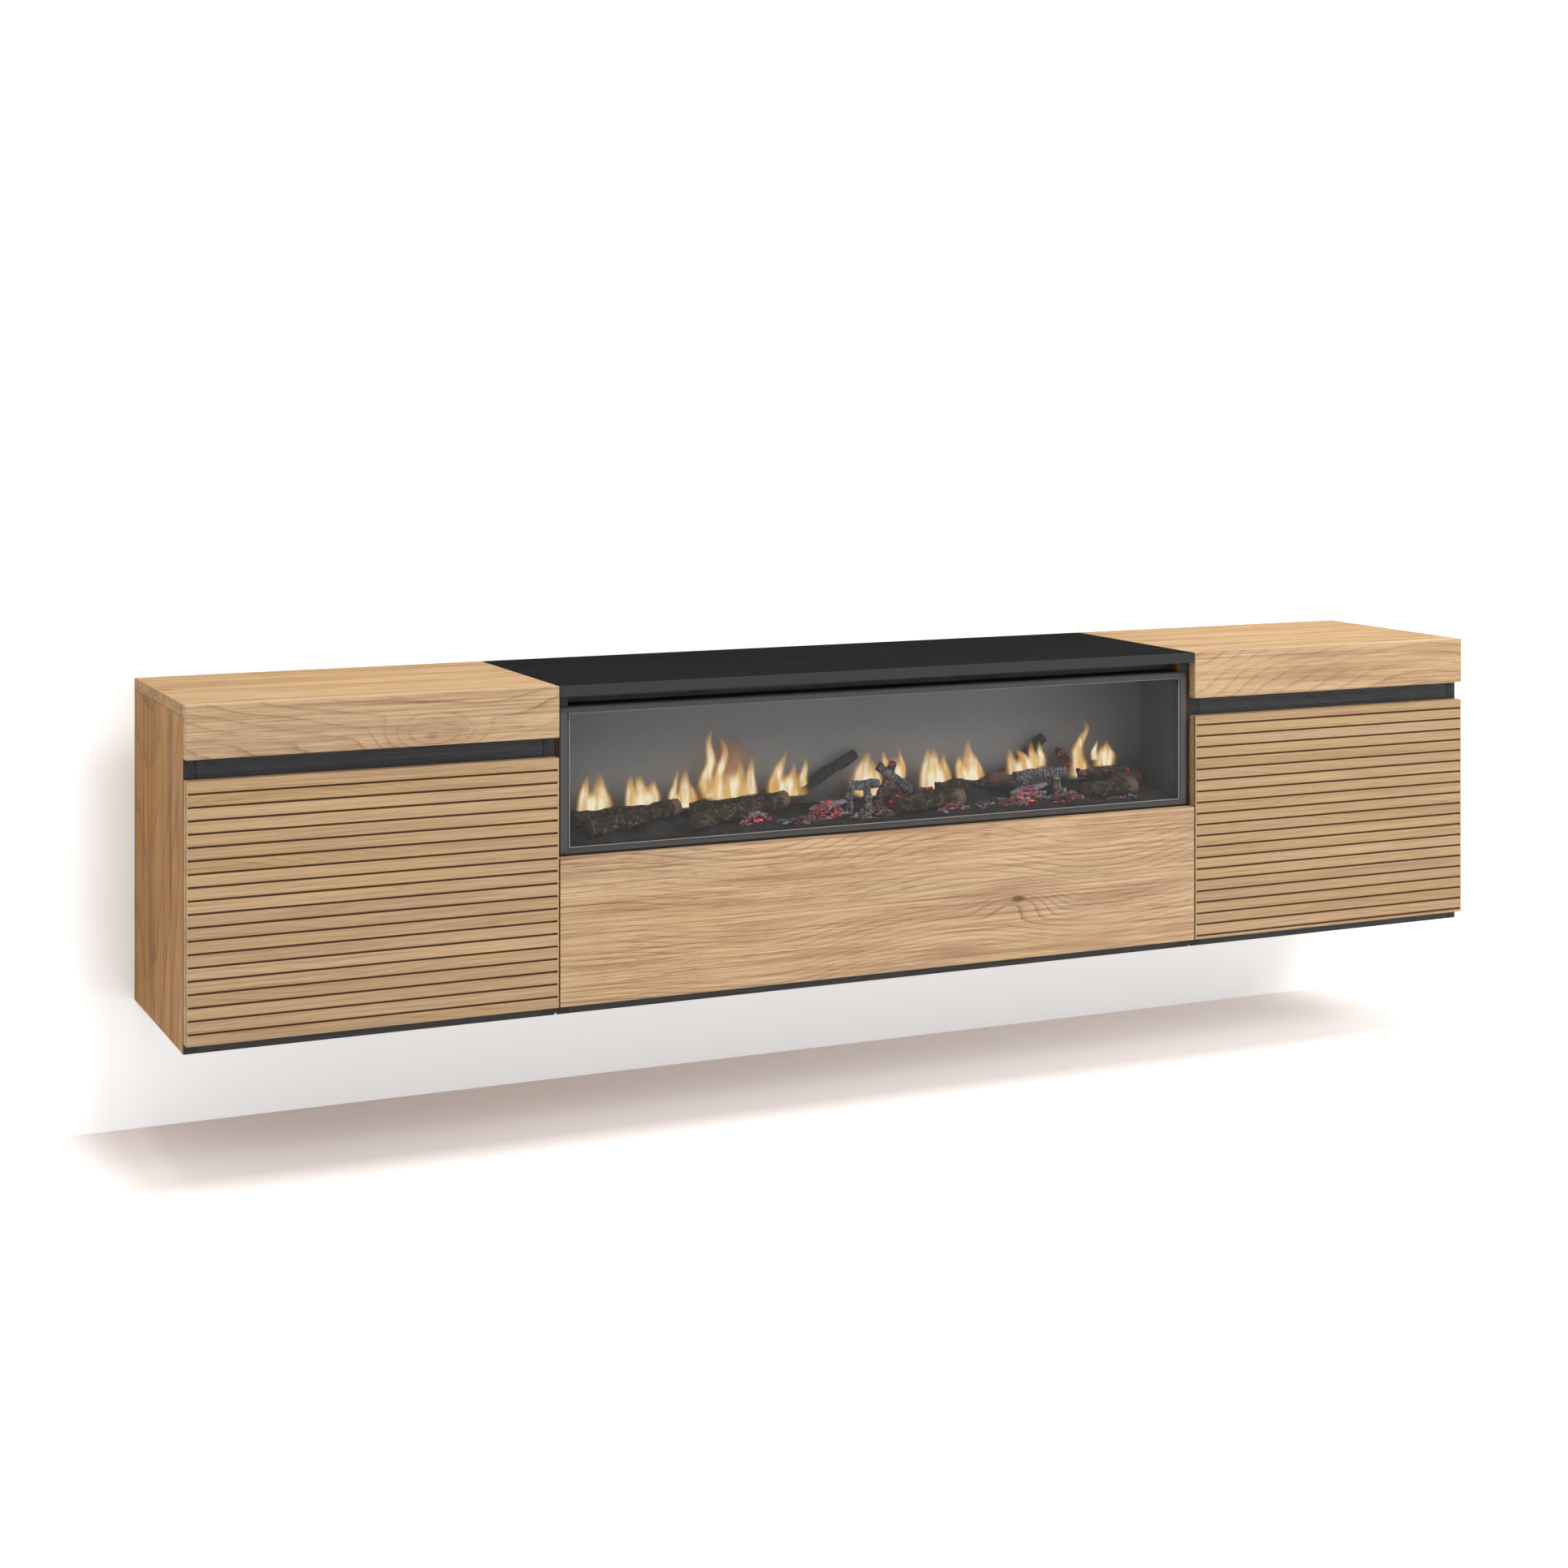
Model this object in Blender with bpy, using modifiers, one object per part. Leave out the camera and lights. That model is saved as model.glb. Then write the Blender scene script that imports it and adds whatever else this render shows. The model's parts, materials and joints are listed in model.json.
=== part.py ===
"""Wall-hung television stand: two oak cabinets with an electric fire between them.

Metres, +Z up. X runs along the wall, the front faces -Y and the wall is the plane Y = 0.
Z = 0 is the middle of the back of the wall cleats that the stand hangs on.
"""
import math

import bmesh
import bpy
from mathutils import Matrix, Vector

# Overall sizes
overall_width = 2.0
overall_depth = 0.35
overall_height = 0.4455
hang_drop = 0.0755
side_cabinet_width = 0.4974

# Boards and the gaps between them
board = 0.016
black_top_board = 0.015
back_board = 0.003
back_inset = 0.018
back_groove = 0.006
seam_gap = 0.003
front_gap = 0.0004
fit_gap = 0.0003
edge_round = 0.0005
overrun = 0.002
weld_distance = 0.000002

# Fascias, finger gaps and flaps
fascia_height = 0.0691
finger_gap = 0.0271
finger_rail_lap = 0.01
flap_lift = 0.0129
flap_inset = 0.001
vent_slot_height = 0.0145

# Grooves milled across the side flaps
slat_groove_depth = 0.003
slat_groove_mouth = 0.003
slat_groove_floor = 0.0022
slat_groove_end = 0.002
left_first_groove = 0.0151
left_groove_pitch = 0.01694
right_first_groove = 0.0054
right_groove_pitch = 0.01671
least_slat = 0.004

# Cranked continuous hinges of the flaps
hinge_out = 0.002
hinge_up = 0.0006
hinge_pin_radius = 0.001
hinge_pin_gap = 0.0003
knuckle_radius = 0.0019
knuckle_length = 0.08
knuckle_sides = 10
knuckle_gap = 0.0004
hinge_leaf = 0.001
hinge_leaf_width = 0.018
hinge_crank_web = 0.0012
hinge_leaf_notch = 0.0006
hinge_leaf_rise = 0.0044
hinge_end = 0.002
rebate_end = 0.001
rebate_gap = 0.0005

# Folding flap stays
stay_pivot_back = 0.007
stay_reach = 0.118
stay_rise = 0.058
stay_top_gap = 0.0144
stay_bar = 0.002
stay_bar_width = 0.011
stay_layer_gap = 0.0004
stay_pin_radius = 0.002
stay_pin_gap = 0.0004
stay_open_gap = 0.0006
stay_head_radius = 0.0035
stay_head = 0.001
stay_plate_length = 0.036
stay_plate_width = 0.016
stay_foot_length = 0.018
stay_foot_height = 0.024
stay_foot_thickness = 0.0015

# Cleats that hang the cabinets on the wall
wall_cleat = 0.016
wall_cleat_low = 0.02
wall_cleat_high = 0.015
wall_cleat_end = 0.01
cleat_top_gap = 0.0005
cleat_wall_gap = 0.0015
cleat_hole_radius = 0.003
cleat_hole_drop = 0.005
cleat_hole_shares = (-0.38, 0.38)

# Fire insert: case, frame and glass
case_depth = 0.15
case_sheet = 0.0008
case_top_drop = 0.0005
frame_lift = 0.0009
frame_height = 0.202
frame_seam_gap = 0.0036
frame_sheet = 0.0015
frame_stile = 0.012
frame_top_rail = 0.0092
frame_bottom_rail = 0.0063
frame_round = 0.0004
bezel_stile = 0.0037
bezel_top_rail = 0.001
bezel_bottom_rail = 0.0044
bezel_sheet = 0.001
glass_thickness = 0.004
screen_depth = 0.1095
screen_thickness = 0.002

# Ember bed and its light
bed_front_height = 0.0102
bed_rise = 0.017
bed_columns = 56
bed_rows = 8
heap_height = 0.01
heap_spread = 0.022
light_strip_width = 0.01
light_strip_thickness = 0.0016
light_channel_width = 0.013
light_channel_height = 0.0034
light_chip = 0.005
light_chip_height = 0.001
light_chip_count = 14

# Moulded logs
log_radius = 0.013
log_wander = 0.0012
log_rings = 5

# Flame rotor behind the screen
rotor_shaft_radius = 0.002
rotor_end_gap = 0.045
rotor_flag_reach = 0.012
rotor_flag_width = 0.036
rotor_flag_sheet = 0.0006
rotor_flag_count = 15
rotor_flag_turn_degrees = 52
rotor_flag_pitch_degrees = 14
rotor_floor_gap = 0.018
rotor_bracket_sheet = 0.0012
rotor_bracket_width = 0.016
rotor_bracket_foot = 0.012
rotor_shaft_tail = 0.004
motor_radius = 0.0135
motor_length = 0.018
motor_boss_radius = 0.005
motor_boss_length = 0.003

# Power inlet and the hole for the lead
inlet_width = 0.03
inlet_height = 0.022
inlet_depth = 0.015
inlet_recess_width = 0.02
inlet_recess_height = 0.01
inlet_recess_depth = 0.01
inlet_pin_radius = 0.0012
inlet_pin_spread = 0.0086
inlet_pin_length = 0.007
inlet_share = 0.82
inlet_height_share = 0.3
lead_hole_radius = 0.03

# Where each log lies: across the half width, back into the bed, and up in log radii,
# for its two ends, then its thickness in log radii.
log_shares = (
    ((-0.922, 0.20, 1.28), (-0.624, 0.55, 2.67), 0.88),
    ((-0.605, 0.18, 1.22), (-0.277, 0.60, 2.52), 0.90),
    ((-0.942, 0.66, 1.77), (-0.621, 0.80, 2.10), 0.86),
    ((-0.573, 0.74, 1.84), (-0.195, 0.84, 2.74), 0.82),
    ((-0.213, 0.82, 3.00), (-0.021, 0.88, 6.54), 0.63),
    ((-0.106, 0.35, 3.71), (0.001, 0.35, 3.81), 0.48),
    ((-0.090, 0.35, 3.60), (-0.100, 0.30, 0.61), 0.38),
    ((-0.037, 0.35, 3.60), (-0.041, 0.27, 0.58), 0.42),
    ((0.006, 0.45, 0.90), (0.092, 0.75, 5.43), 0.50),
    ((0.030, 0.62, 5.33), (0.134, 0.56, 2.40), 0.50),
    ((0.059, 0.28, 1.21), (0.288, 0.40, 1.49), 0.95),
    ((0.060, 0.72, 1.90), (0.200, 0.50, 2.20), 0.60),
    ((0.230, 0.76, 2.16), (0.509, 0.84, 2.76), 0.83),
    ((0.482, 0.50, 3.20), (0.654, 0.45, 3.50), 0.56),
    ((0.517, 0.50, 3.10), (0.491, 0.45, 0.64), 0.46),
    ((0.622, 0.47, 3.40), (0.619, 0.35, 0.71), 0.46),
    ((0.708, 0.30, 1.29), (0.900, 0.45, 1.21), 0.95),
    ((0.850, 0.72, 1.72), (0.960, 0.76, 1.72), 0.84),
    ((0.735, 0.74, 2.60), (0.918, 0.76, 2.74), 0.50),
    ((0.677, 0.88, 5.60), (0.745, 0.78, 2.70), 0.47),
    ((0.495, 0.83, 3.20), (0.631, 0.90, 7.01), 0.56),
)
# Ember heaps: across the half width, back into the bed, and height in heap heights.
heap_shares = (
    (-0.40, 0.30, 0.55),
    (-0.17, 0.35, 0.75),
    (-0.10, 0.52, 0.85),
    (0.00, 0.40, 0.60),
    (0.25, 0.22, 0.40),
    (0.40, 0.36, 0.60),
    (0.55, 0.40, 0.90),
    (0.66, 0.36, 0.65),
    (0.78, 0.80, 0.75),
    (0.10, 0.75, 0.60),
    (-0.75, 0.85, 0.35),
    (-0.87, 0.30, 0.85),
    (-0.70, 0.44, 1.30),
    (-0.53, 0.30, 0.85),
    (-0.37, 0.46, 1.20),
    (0.36, 0.80, 1.40),
)

# Levels and planes worked out from the sizes above
front_y = -overall_depth
inner_y = front_y + board
carcass_y = inner_y + front_gap
back_front_y = -back_inset - back_board
top_z = hang_drop
bottom_z = top_z - overall_height
oak_under_z = top_z - board
black_under_z = top_z - black_top_board
fascia_z = top_z - fascia_height
flap_z = bottom_z + flap_lift
side_flap_top_z = fascia_z - finger_gap
frame_top_z = black_under_z - vent_slot_height
frame_z = frame_top_z - frame_height
centre_flap_top_z = frame_z - frame_lift
hinge_y = inner_y - hinge_out
hinge_z = flap_z + hinge_up
shelf_under_z = centre_flap_top_z - board
stay_pivot_up = shelf_under_z - flap_z - stay_top_gap - stay_bar_width / 2 - stay_rise
seam_x = overall_width / 2 - side_cabinet_width
centre_outer_x = seam_x - seam_gap / 2
centre_inner_x = centre_outer_x - board
side_outer_x = overall_width / 2
side_seam_x = seam_x + seam_gap / 2
side_face_x = side_seam_x + board
case_x = centre_inner_x - fit_gap
case_z = centre_flap_top_z + fit_gap
case_back_y = carcass_y + case_depth
case_top_z = frame_top_z - case_top_drop
room_x = case_x - case_sheet - fit_gap
room_z = case_z + case_sheet + fit_gap
room_top_z = case_top_z - case_sheet - fit_gap
glass_y = carcass_y
screen_y = carcass_y + screen_depth
bed_y = glass_y + glass_thickness + fit_gap
bed_depth = screen_y - fit_gap - bed_y
bed_z = room_z + bed_front_height
leaf_seat = board + fit_gap - flap_lift

# The looks: colour (linear), roughness and metallic value
looks = {
    "oak_front": ((0.62, 0.39, 0.21), 0.55, 0.0),
    "oak_top": ((0.66, 0.43, 0.20), 0.5, 0.0),
    "oak_side": ((0.50, 0.28, 0.12), 0.55, 0.0),
    "black_board": ((0.022, 0.023, 0.025), 0.5, 0.0),
    "hardboard": ((0.30, 0.21, 0.13), 0.7, 0.0),
    "cleat": ((0.42, 0.31, 0.19), 0.7, 0.0),
    "nickel": ((0.62, 0.61, 0.58), 0.3, 1.0),
    "zinc": ((0.50, 0.51, 0.52), 0.45, 1.0),
    "frame_grey": ((0.085, 0.088, 0.09), 0.4, 0.3),
    "bezel": ((0.25, 0.25, 0.25), 0.35, 0.7),
    "case": ((0.05, 0.05, 0.052), 0.5, 0.2),
    "glass": ((0.85, 0.87, 0.87), 0.05, 0.0),
    "screen": ((0.11, 0.11, 0.115), 0.8, 0.0),
    "bark": ((0.035, 0.026, 0.018), 0.9, 0.0),
    "mirror_foil": ((0.75, 0.73, 0.66), 0.2, 1.0),
    "black_plastic": ((0.02, 0.02, 0.02), 0.5, 0.0),
    "light_board": ((0.75, 0.74, 0.70), 0.5, 0.0),
}


def start_empty():
    """Remove what is in the scene and make the two collections."""
    for old in list(bpy.data.objects):
        bpy.data.objects.remove(old, do_unlink=True)
    for name in ("tv_stand", "cutters"):
        group = bpy.data.collections.new(name)
        bpy.context.scene.collection.children.link(group)


def finish_for(name, look):
    """A plain material of its own for each sub-part."""
    colour, roughness, metallic = looks[look]
    material = bpy.data.materials.new(name)
    material.use_nodes = True
    shader = material.node_tree.nodes["Principled BSDF"]
    shader.inputs["Base Color"].default_value = (*colour, 1)
    shader.inputs["Roughness"].default_value = roughness
    shader.inputs["Metallic"].default_value = metallic
    if look == "glass":
        shader.inputs["Transmission Weight"].default_value = 1
    return material


def add_piece(name, mesh, look, place=(0, 0, 0)):
    """Put a sub-part in the stand's collection, with its origin at place."""
    mesh.name = name
    piece = bpy.data.objects.new(name, mesh)
    mesh.materials.clear()
    mesh.materials.append(finish_for(name, look))
    piece.location = place
    bpy.data.collections["tv_stand"].objects.link(piece)
    return piece


def add_tool(name, mesh, place=(0, 0, 0)):
    """Put a cutter in its own collection, out of the render."""
    tool = bpy.data.objects.new(name, mesh)
    tool.location = place
    tool.hide_render = True
    tool.display_type = "WIRE"
    bpy.data.collections["cutters"].objects.link(tool)
    return tool


def boolean(piece, tool, operation):
    """Cut or join with the exact solver."""
    modifier = piece.modifiers.new(operation.lower(), "BOOLEAN")
    modifier.operation = operation
    modifier.solver = "EXACT"
    modifier.object = tool


def evaluated_mesh(piece):
    """The mesh that an object's modifiers or curve settings make."""
    bpy.context.view_layer.update()
    graph = bpy.context.evaluated_depsgraph_get()
    return bpy.data.meshes.new_from_object(piece.evaluated_get(graph))


def mesh_from(shape):
    """Close a bmesh into a mesh whose faces point out."""
    bmesh.ops.recalc_face_normals(shape, faces=shape.faces)
    mesh = bpy.data.meshes.new("shape")
    shape.to_mesh(mesh)
    shape.free()
    return mesh


def made_mesh(piece):
    """Turn a helper object into a welded mesh and remove the object."""
    mesh = evaluated_mesh(piece)
    mesh.transform(piece.matrix_world)
    bpy.data.objects.remove(piece, do_unlink=True)
    shape = bmesh.new()
    shape.from_mesh(mesh)
    bmesh.ops.remove_doubles(shape, verts=shape.verts, dist=weld_distance)
    return mesh_from(shape)


def box(x, y, z):
    """A box between three pairs of planes."""
    pairs = [sorted(pair) for pair in (x, y, z)]
    centre = Vector([(low + high) / 2 for low, high in pairs])
    size = Vector([high - low for low, high in pairs])
    shape = bmesh.new()
    bmesh.ops.create_cube(shape, size=1, matrix=Matrix.Translation(centre) @ Matrix.Diagonal((*size, 1)))
    return mesh_from(shape)


def rod(radius, x, y, z, sides=16):
    """A round rod along X between two planes."""
    low, high = sorted(x)
    turn = Matrix.Rotation(math.radians(90), 4, "Y")
    place = Matrix.Translation(((low + high) / 2, y, z))
    shape = bmesh.new()
    bmesh.ops.create_cone(
        shape, cap_ends=True, segments=sides, radius1=radius, radius2=radius,
        depth=high - low, matrix=place @ turn)
    return mesh_from(shape)


def arc(centre, radius, start, end, steps):
    """Points along an arc, angles in degrees from the first axis."""
    angles = [math.radians(start + (end - start) * i / steps) for i in range(steps + 1)]
    return [(centre[0] + radius * math.cos(a), centre[1] + radius * math.sin(a)) for a in angles]


def circle(centre, radius, steps=16):
    """A closed ring of points."""
    return arc(centre, radius, 0, 360, steps)[:-1]


def bar_outline(start, end, half_width):
    """A flat bar with round ends about two centres."""
    angle = math.degrees(math.atan2(end[1] - start[1], end[0] - start[0]))
    far = arc(end, half_width, angle - 90, angle + 90, 6)
    near = arc(start, half_width, angle + 90, angle + 270, 6)
    return far + near


def side_plate(outlines, x, y=0.0, z=0.0):
    """A sheet in the YZ plane from outlines in (out to the front, up), holes after the rim."""
    low, high = sorted(x)
    curve = bpy.data.curves.new("outline", "CURVE")
    curve.dimensions = "2D"
    curve.fill_mode = "BOTH"
    curve.extrude = (high - low) / 2
    for points in outlines:
        spline = curve.splines.new("POLY")
        spline.points.add(len(points) - 1)
        for knot, (out, up) in zip(spline.points, points):
            knot.co = (out, up, 0, 1)
        spline.use_cyclic_u = True
    piece = bpy.data.objects.new("outline", curve)
    bpy.context.scene.collection.objects.link(piece)
    axes = Matrix(((0, 0, -1, 0), (-1, 0, 0, 0), (0, 1, 0, 0), (0, 0, 0, 1)))
    piece.matrix_world = Matrix.Translation(((low + high) / 2, y, z)) @ axes
    return made_mesh(piece)


def turned(profile, place, steps=20):
    """A profile of (radius, height) turned about an axis that points into the cabinet."""
    mesh = bpy.data.meshes.new("profile")
    mesh.from_pydata([(r, 0, h) for r, h in profile], [(i, i + 1) for i in range(len(profile) - 1)], [])
    piece = bpy.data.objects.new("profile", mesh)
    bpy.context.scene.collection.objects.link(piece)
    screw = piece.modifiers.new("screw", "SCREW")
    screw.steps = steps
    screw.render_steps = steps
    screw.use_merge_vertices = True
    screw.merge_threshold = weld_distance
    piece.matrix_world = Matrix.Translation(place) @ Matrix.Rotation(math.radians(-90), 4, "X")
    return made_mesh(piece)


def tube(points, radii, smoothness):
    """A tube along points, with a radius at each of them."""
    curve = bpy.data.curves.new("tube", "CURVE")
    curve.dimensions = "3D"
    curve.bevel_depth = radii[0]
    curve.bevel_resolution = smoothness
    curve.use_fill_caps = True
    spline = curve.splines.new("POLY")
    spline.points.add(len(points) - 1)
    for knot, point, radius in zip(spline.points, points, radii):
        knot.co = (*point, 1)
        knot.radius = radius / radii[0]
    piece = bpy.data.objects.new("tube", curve)
    bpy.context.scene.collection.objects.link(piece)
    return made_mesh(piece)


def fused(solids, holes=()):
    """One closed mesh from solids that overlap, less the holes."""
    base = add_tool("base", solids[0])
    tools = [base]
    for operation, meshes in (("UNION", solids[1:]), ("DIFFERENCE", holes)):
        for mesh in meshes:
            tools.append(add_tool("tool", mesh))
            boolean(base, tools[-1], operation)
    mesh = evaluated_mesh(base)
    for tool in tools:
        bpy.data.objects.remove(tool, do_unlink=True)
    return mesh


def joined(meshes):
    """Separate solids in one mesh."""
    shape = bmesh.new()
    for mesh in meshes:
        shape.from_mesh(mesh)
    whole = bpy.data.meshes.new("group")
    shape.to_mesh(whole)
    shape.free()
    return whole


def moved(mesh, x=0.0, y=0.0, z=0.0):
    """A copy of a mesh, shifted."""
    copy = mesh.copy()
    copy.transform(Matrix.Translation((x, y, z)))
    return copy


def soften(piece, width):
    """Take the sharpness off the edges."""
    bevel = piece.modifiers.new("edge", "BEVEL")
    bevel.width = width
    bevel.segments = 1
    bevel.limit_method = "ANGLE"


def add_board(name, x, y, z, look, origin=None, edge=edge_round):
    """A board that fills the space between three pairs of planes."""
    mesh = box(x, y, z)
    place = Vector(origin or [(pair[0] + pair[1]) / 2 for pair in (x, y, z)])
    mesh.transform(Matrix.Translation(-place))
    piece = add_piece(name, mesh, look, place)
    soften(piece, edge)
    return piece


def add_side_board(name, x, top, look, groove_face, into):
    """An upright board with a groove near its rear edge that holds the back board."""
    piece = add_board(name, x, (carcass_y, 0), (bottom_z, top), look)
    groove = box(
        (groove_face - into * overrun, groove_face + into * back_groove),
        (back_front_y - fit_gap, -back_inset + fit_gap),
        (bottom_z - overrun, top + overrun))
    boolean(piece, add_tool(name + "_groove", groove), "DIFFERENCE")


def add_back_board(name, low_x, high_x, top, holes=None):
    """The thin back that slides into the grooves of two side boards."""
    reach = back_groove - fit_gap
    piece = add_board(
        name, (low_x - reach, high_x + reach), (back_front_y, -back_inset), (bottom_z, top),
        "hardboard", edge=back_board / 8)
    if holes:
        boolean(piece, add_tool(name + "_hole", holes), "DIFFERENCE")


def add_side_cabinet(name, side):
    """The boards of the cabinet at one end: side is -1 for the left one, 1 for the right one."""
    outer = side * side_outer_x
    outer_face = outer - side * board
    seam = side * side_seam_x
    seam_face = side * side_face_x
    side_top = oak_under_z - fit_gap
    add_side_board(name + "_outer_side", (outer, outer_face), side_top, "oak_side", outer_face, side)
    add_side_board(name + "_inner_side", (seam, seam_face), side_top, "oak_side", seam_face, -side)
    room = (outer_face - side * fit_gap, seam_face + side * fit_gap)
    add_board(name + "_bottom_panel", room, (carcass_y, back_front_y - fit_gap),
              (bottom_z, bottom_z + board), "black_board")
    add_board(name + "_finger_rail", room, (carcass_y, carcass_y + board),
              (side_flap_top_z - finger_rail_lap, side_top), "black_board")
    low_face, high_face = sorted((outer_face, seam_face))
    add_back_board(name + "_back_panel", low_face, high_face, side_top)
    add_board(name + "_top_panel", (outer, side * (seam_x + fit_gap / 2)), (inner_y + fit_gap, 0),
              (oak_under_z, top_z), "oak_top")
    add_board(name + "_fascia", (outer, side * (seam_x + flap_inset / 2)), (front_y, inner_y),
              (fascia_z, top_z), "oak_front")


def add_centre_cabinet():
    """The boards of the middle cabinet."""
    side_top = black_under_z - fit_gap
    for name, side in (("left", -1), ("right", 1)):
        face = side * centre_inner_x
        add_side_board("centre_" + name + "_side", (side * centre_outer_x, face), side_top,
                       "oak_side", face, side)
    room = (-centre_inner_x + fit_gap, centre_inner_x - fit_gap)
    depth = (carcass_y, back_front_y - fit_gap)
    add_board("centre_bottom_panel", room, depth, (bottom_z, bottom_z + board), "black_board")
    add_board("centre_shelf", room, depth, (shelf_under_z, centre_flap_top_z), "black_board")
    lead_hole = turned(
        [(0, overrun), (lead_hole_radius, overrun), (lead_hole_radius, -back_board - overrun),
         (0, -back_board - overrun)],
        (inlet_share * case_x, -back_inset, inlet_level()), 24)
    add_back_board("centre_back_panel", -centre_inner_x, centre_inner_x, side_top, lead_hole)
    half = seam_x - fit_gap / 2
    add_board("centre_top_panel", (-half, half), (front_y, 0), (black_under_z, top_z), "black_board")


def inlet_level():
    """The height of the power inlet and of the hole behind it."""
    return case_z + inlet_height_share * (case_top_z - case_z)


def groove_tool(length, height, first, pitch, middle):
    """The bars that the slat grooves are cut with, from first upwards."""
    count = int((height - first - least_slat) / pitch) + 1
    slope = (slat_groove_mouth - slat_groove_floor) / 2 / slat_groove_depth
    mouth = slat_groove_mouth / 2 + slope * overrun
    bars = []
    for index in range(count):
        up = first + index * pitch
        outline = [
            (board - slat_groove_depth, up - slat_groove_floor / 2),
            (board + overrun, up - mouth),
            (board + overrun, up + mouth),
            (board - slat_groove_depth, up + slat_groove_floor / 2),
        ]
        bars.append(side_plate([outline], (middle - length / 2, middle + length / 2), inner_y, flap_z))
    return joined(bars)


def hinge_rebate(low_x, high_x):
    """The recess along the back of a flap for the hinge: deep at the knuckles, shallow at the leaf."""
    deep_out = hinge_out + knuckle_radius + rebate_gap
    crank_top = leaf_seat + hinge_leaf - hinge_up
    deep_up = hinge_up + math.hypot(crank_top, hinge_crank_web / 2) + rebate_gap
    shallow_out = hinge_out - knuckle_radius + hinge_leaf + fit_gap
    shallow_up = hinge_up + hinge_leaf_width + rebate_gap
    ends = (low_x - rebate_end, high_x + rebate_end)
    deep = box(ends, (inner_y + overrun, inner_y - deep_out), (flap_z - overrun, flap_z + deep_up))
    shallow = box(ends, (inner_y + overrun, inner_y - shallow_out), (flap_z, flap_z + shallow_up))
    return fused([deep, shallow])


def knuckle_spans(low_x, high_x, first):
    """Every second stretch of the hinge, from the first or the second one on."""
    count = 2 * round((high_x - low_x) / knuckle_length / 2) + 1
    pitch = (high_x - low_x) / count
    starts = [low_x + pitch * index for index in range(first, count, 2)]
    return [(x + knuckle_gap / 2, x + pitch - knuckle_gap / 2) for x in starts]


def case_leaf(low_x, high_x):
    """The leaf on the bottom panel: it steps forward and down to its knuckles, and holds the pin."""
    low = leaf_seat
    high = leaf_seat + hinge_leaf
    web_back = hinge_out - hinge_crank_web / 2
    web_front = hinge_out + hinge_crank_web / 2
    strip = box((low_x, high_x), (inner_y + hinge_leaf_width, inner_y + hinge_leaf_notch),
                (flap_z + low, flap_z + high))
    step = [(-hinge_leaf_width / 2, low), (web_back, low), (web_back, hinge_up), (web_front, hinge_up),
            (web_front, high), (-hinge_leaf_width / 2, high)]
    spans = knuckle_spans(low_x, high_x, 0)
    steps = joined([side_plate([step], span, inner_y, flap_z) for span in spans])
    barrels = joined([rod(knuckle_radius, span, hinge_y, hinge_z, knuckle_sides) for span in spans])
    pin_x = (low_x + knuckle_gap, high_x - knuckle_gap)
    pin = rod(hinge_pin_radius, pin_x, hinge_y, hinge_z, knuckle_sides)
    return fused([strip, steps, barrels, pin])


def flap_leaf(low_x, high_x):
    """The leaf let into the back of the flap, with its bored knuckles."""
    back = inner_y - hinge_out + knuckle_radius
    leaf_y = (back - hinge_leaf, back)
    leaf_top = flap_z + hinge_up + hinge_leaf_width
    strip = box((low_x, high_x), leaf_y, (hinge_z + hinge_leaf_rise, leaf_top))
    spans = knuckle_spans(low_x, high_x, 1)
    middle = hinge_z + (leaf_top - hinge_z) / 2
    roots = joined([box(span, leaf_y, (hinge_z, middle)) for span in spans])
    barrels = joined([rod(knuckle_radius, span, hinge_y, hinge_z, knuckle_sides) for span in spans])
    bore_x = (low_x - overrun, high_x + overrun)
    bore = rod(hinge_pin_radius + hinge_pin_gap, bore_x, hinge_y, hinge_z, knuckle_sides)
    return fused([strip, roots, barrels], [bore])


def add_flap(name, low_x, high_x, top, faces, grooves=None):
    """A drop-down flap with its hinge, which lies between the faces of the side boards."""
    middle = (low_x + high_x) / 2
    axis = Vector((middle, hinge_y, hinge_z))
    flap = add_board(name + "_flap", (low_x, high_x), (front_y, inner_y), (flap_z, top), "oak_front", axis)
    hinge = (faces[0] + hinge_end, faces[1] - hinge_end)
    boolean(flap, add_tool(name + "_hinge_rebate", hinge_rebate(*hinge)), "DIFFERENCE")
    if grooves:
        length = high_x - low_x - 2 * slat_groove_end
        tool = groove_tool(length, top - flap_z, *grooves, middle)
        boolean(flap, add_tool(name + "_slat_grooves", tool), "DIFFERENCE")
    add_piece(name + "_flap_leaf", moved(flap_leaf(*hinge), *(-axis)), "nickel", axis)
    add_piece(name + "_case_leaf", case_leaf(*hinge), "nickel")


def stay_points():
    """The pivots of a stay in (out to the front, up) from the flap's lower inner edge."""
    flap_pivot = Vector((-stay_pivot_back, stay_pivot_up))
    offset = Vector((-stay_reach, stay_rise))
    case_pivot = Vector((hinge_out, hinge_up)) + offset
    return case_pivot, flap_pivot + offset, flap_pivot


def layer(face, toward, start, thickness):
    """A pair of planes, start away from the face of a side board."""
    return face + toward * start, face + toward * (start + thickness)


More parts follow.
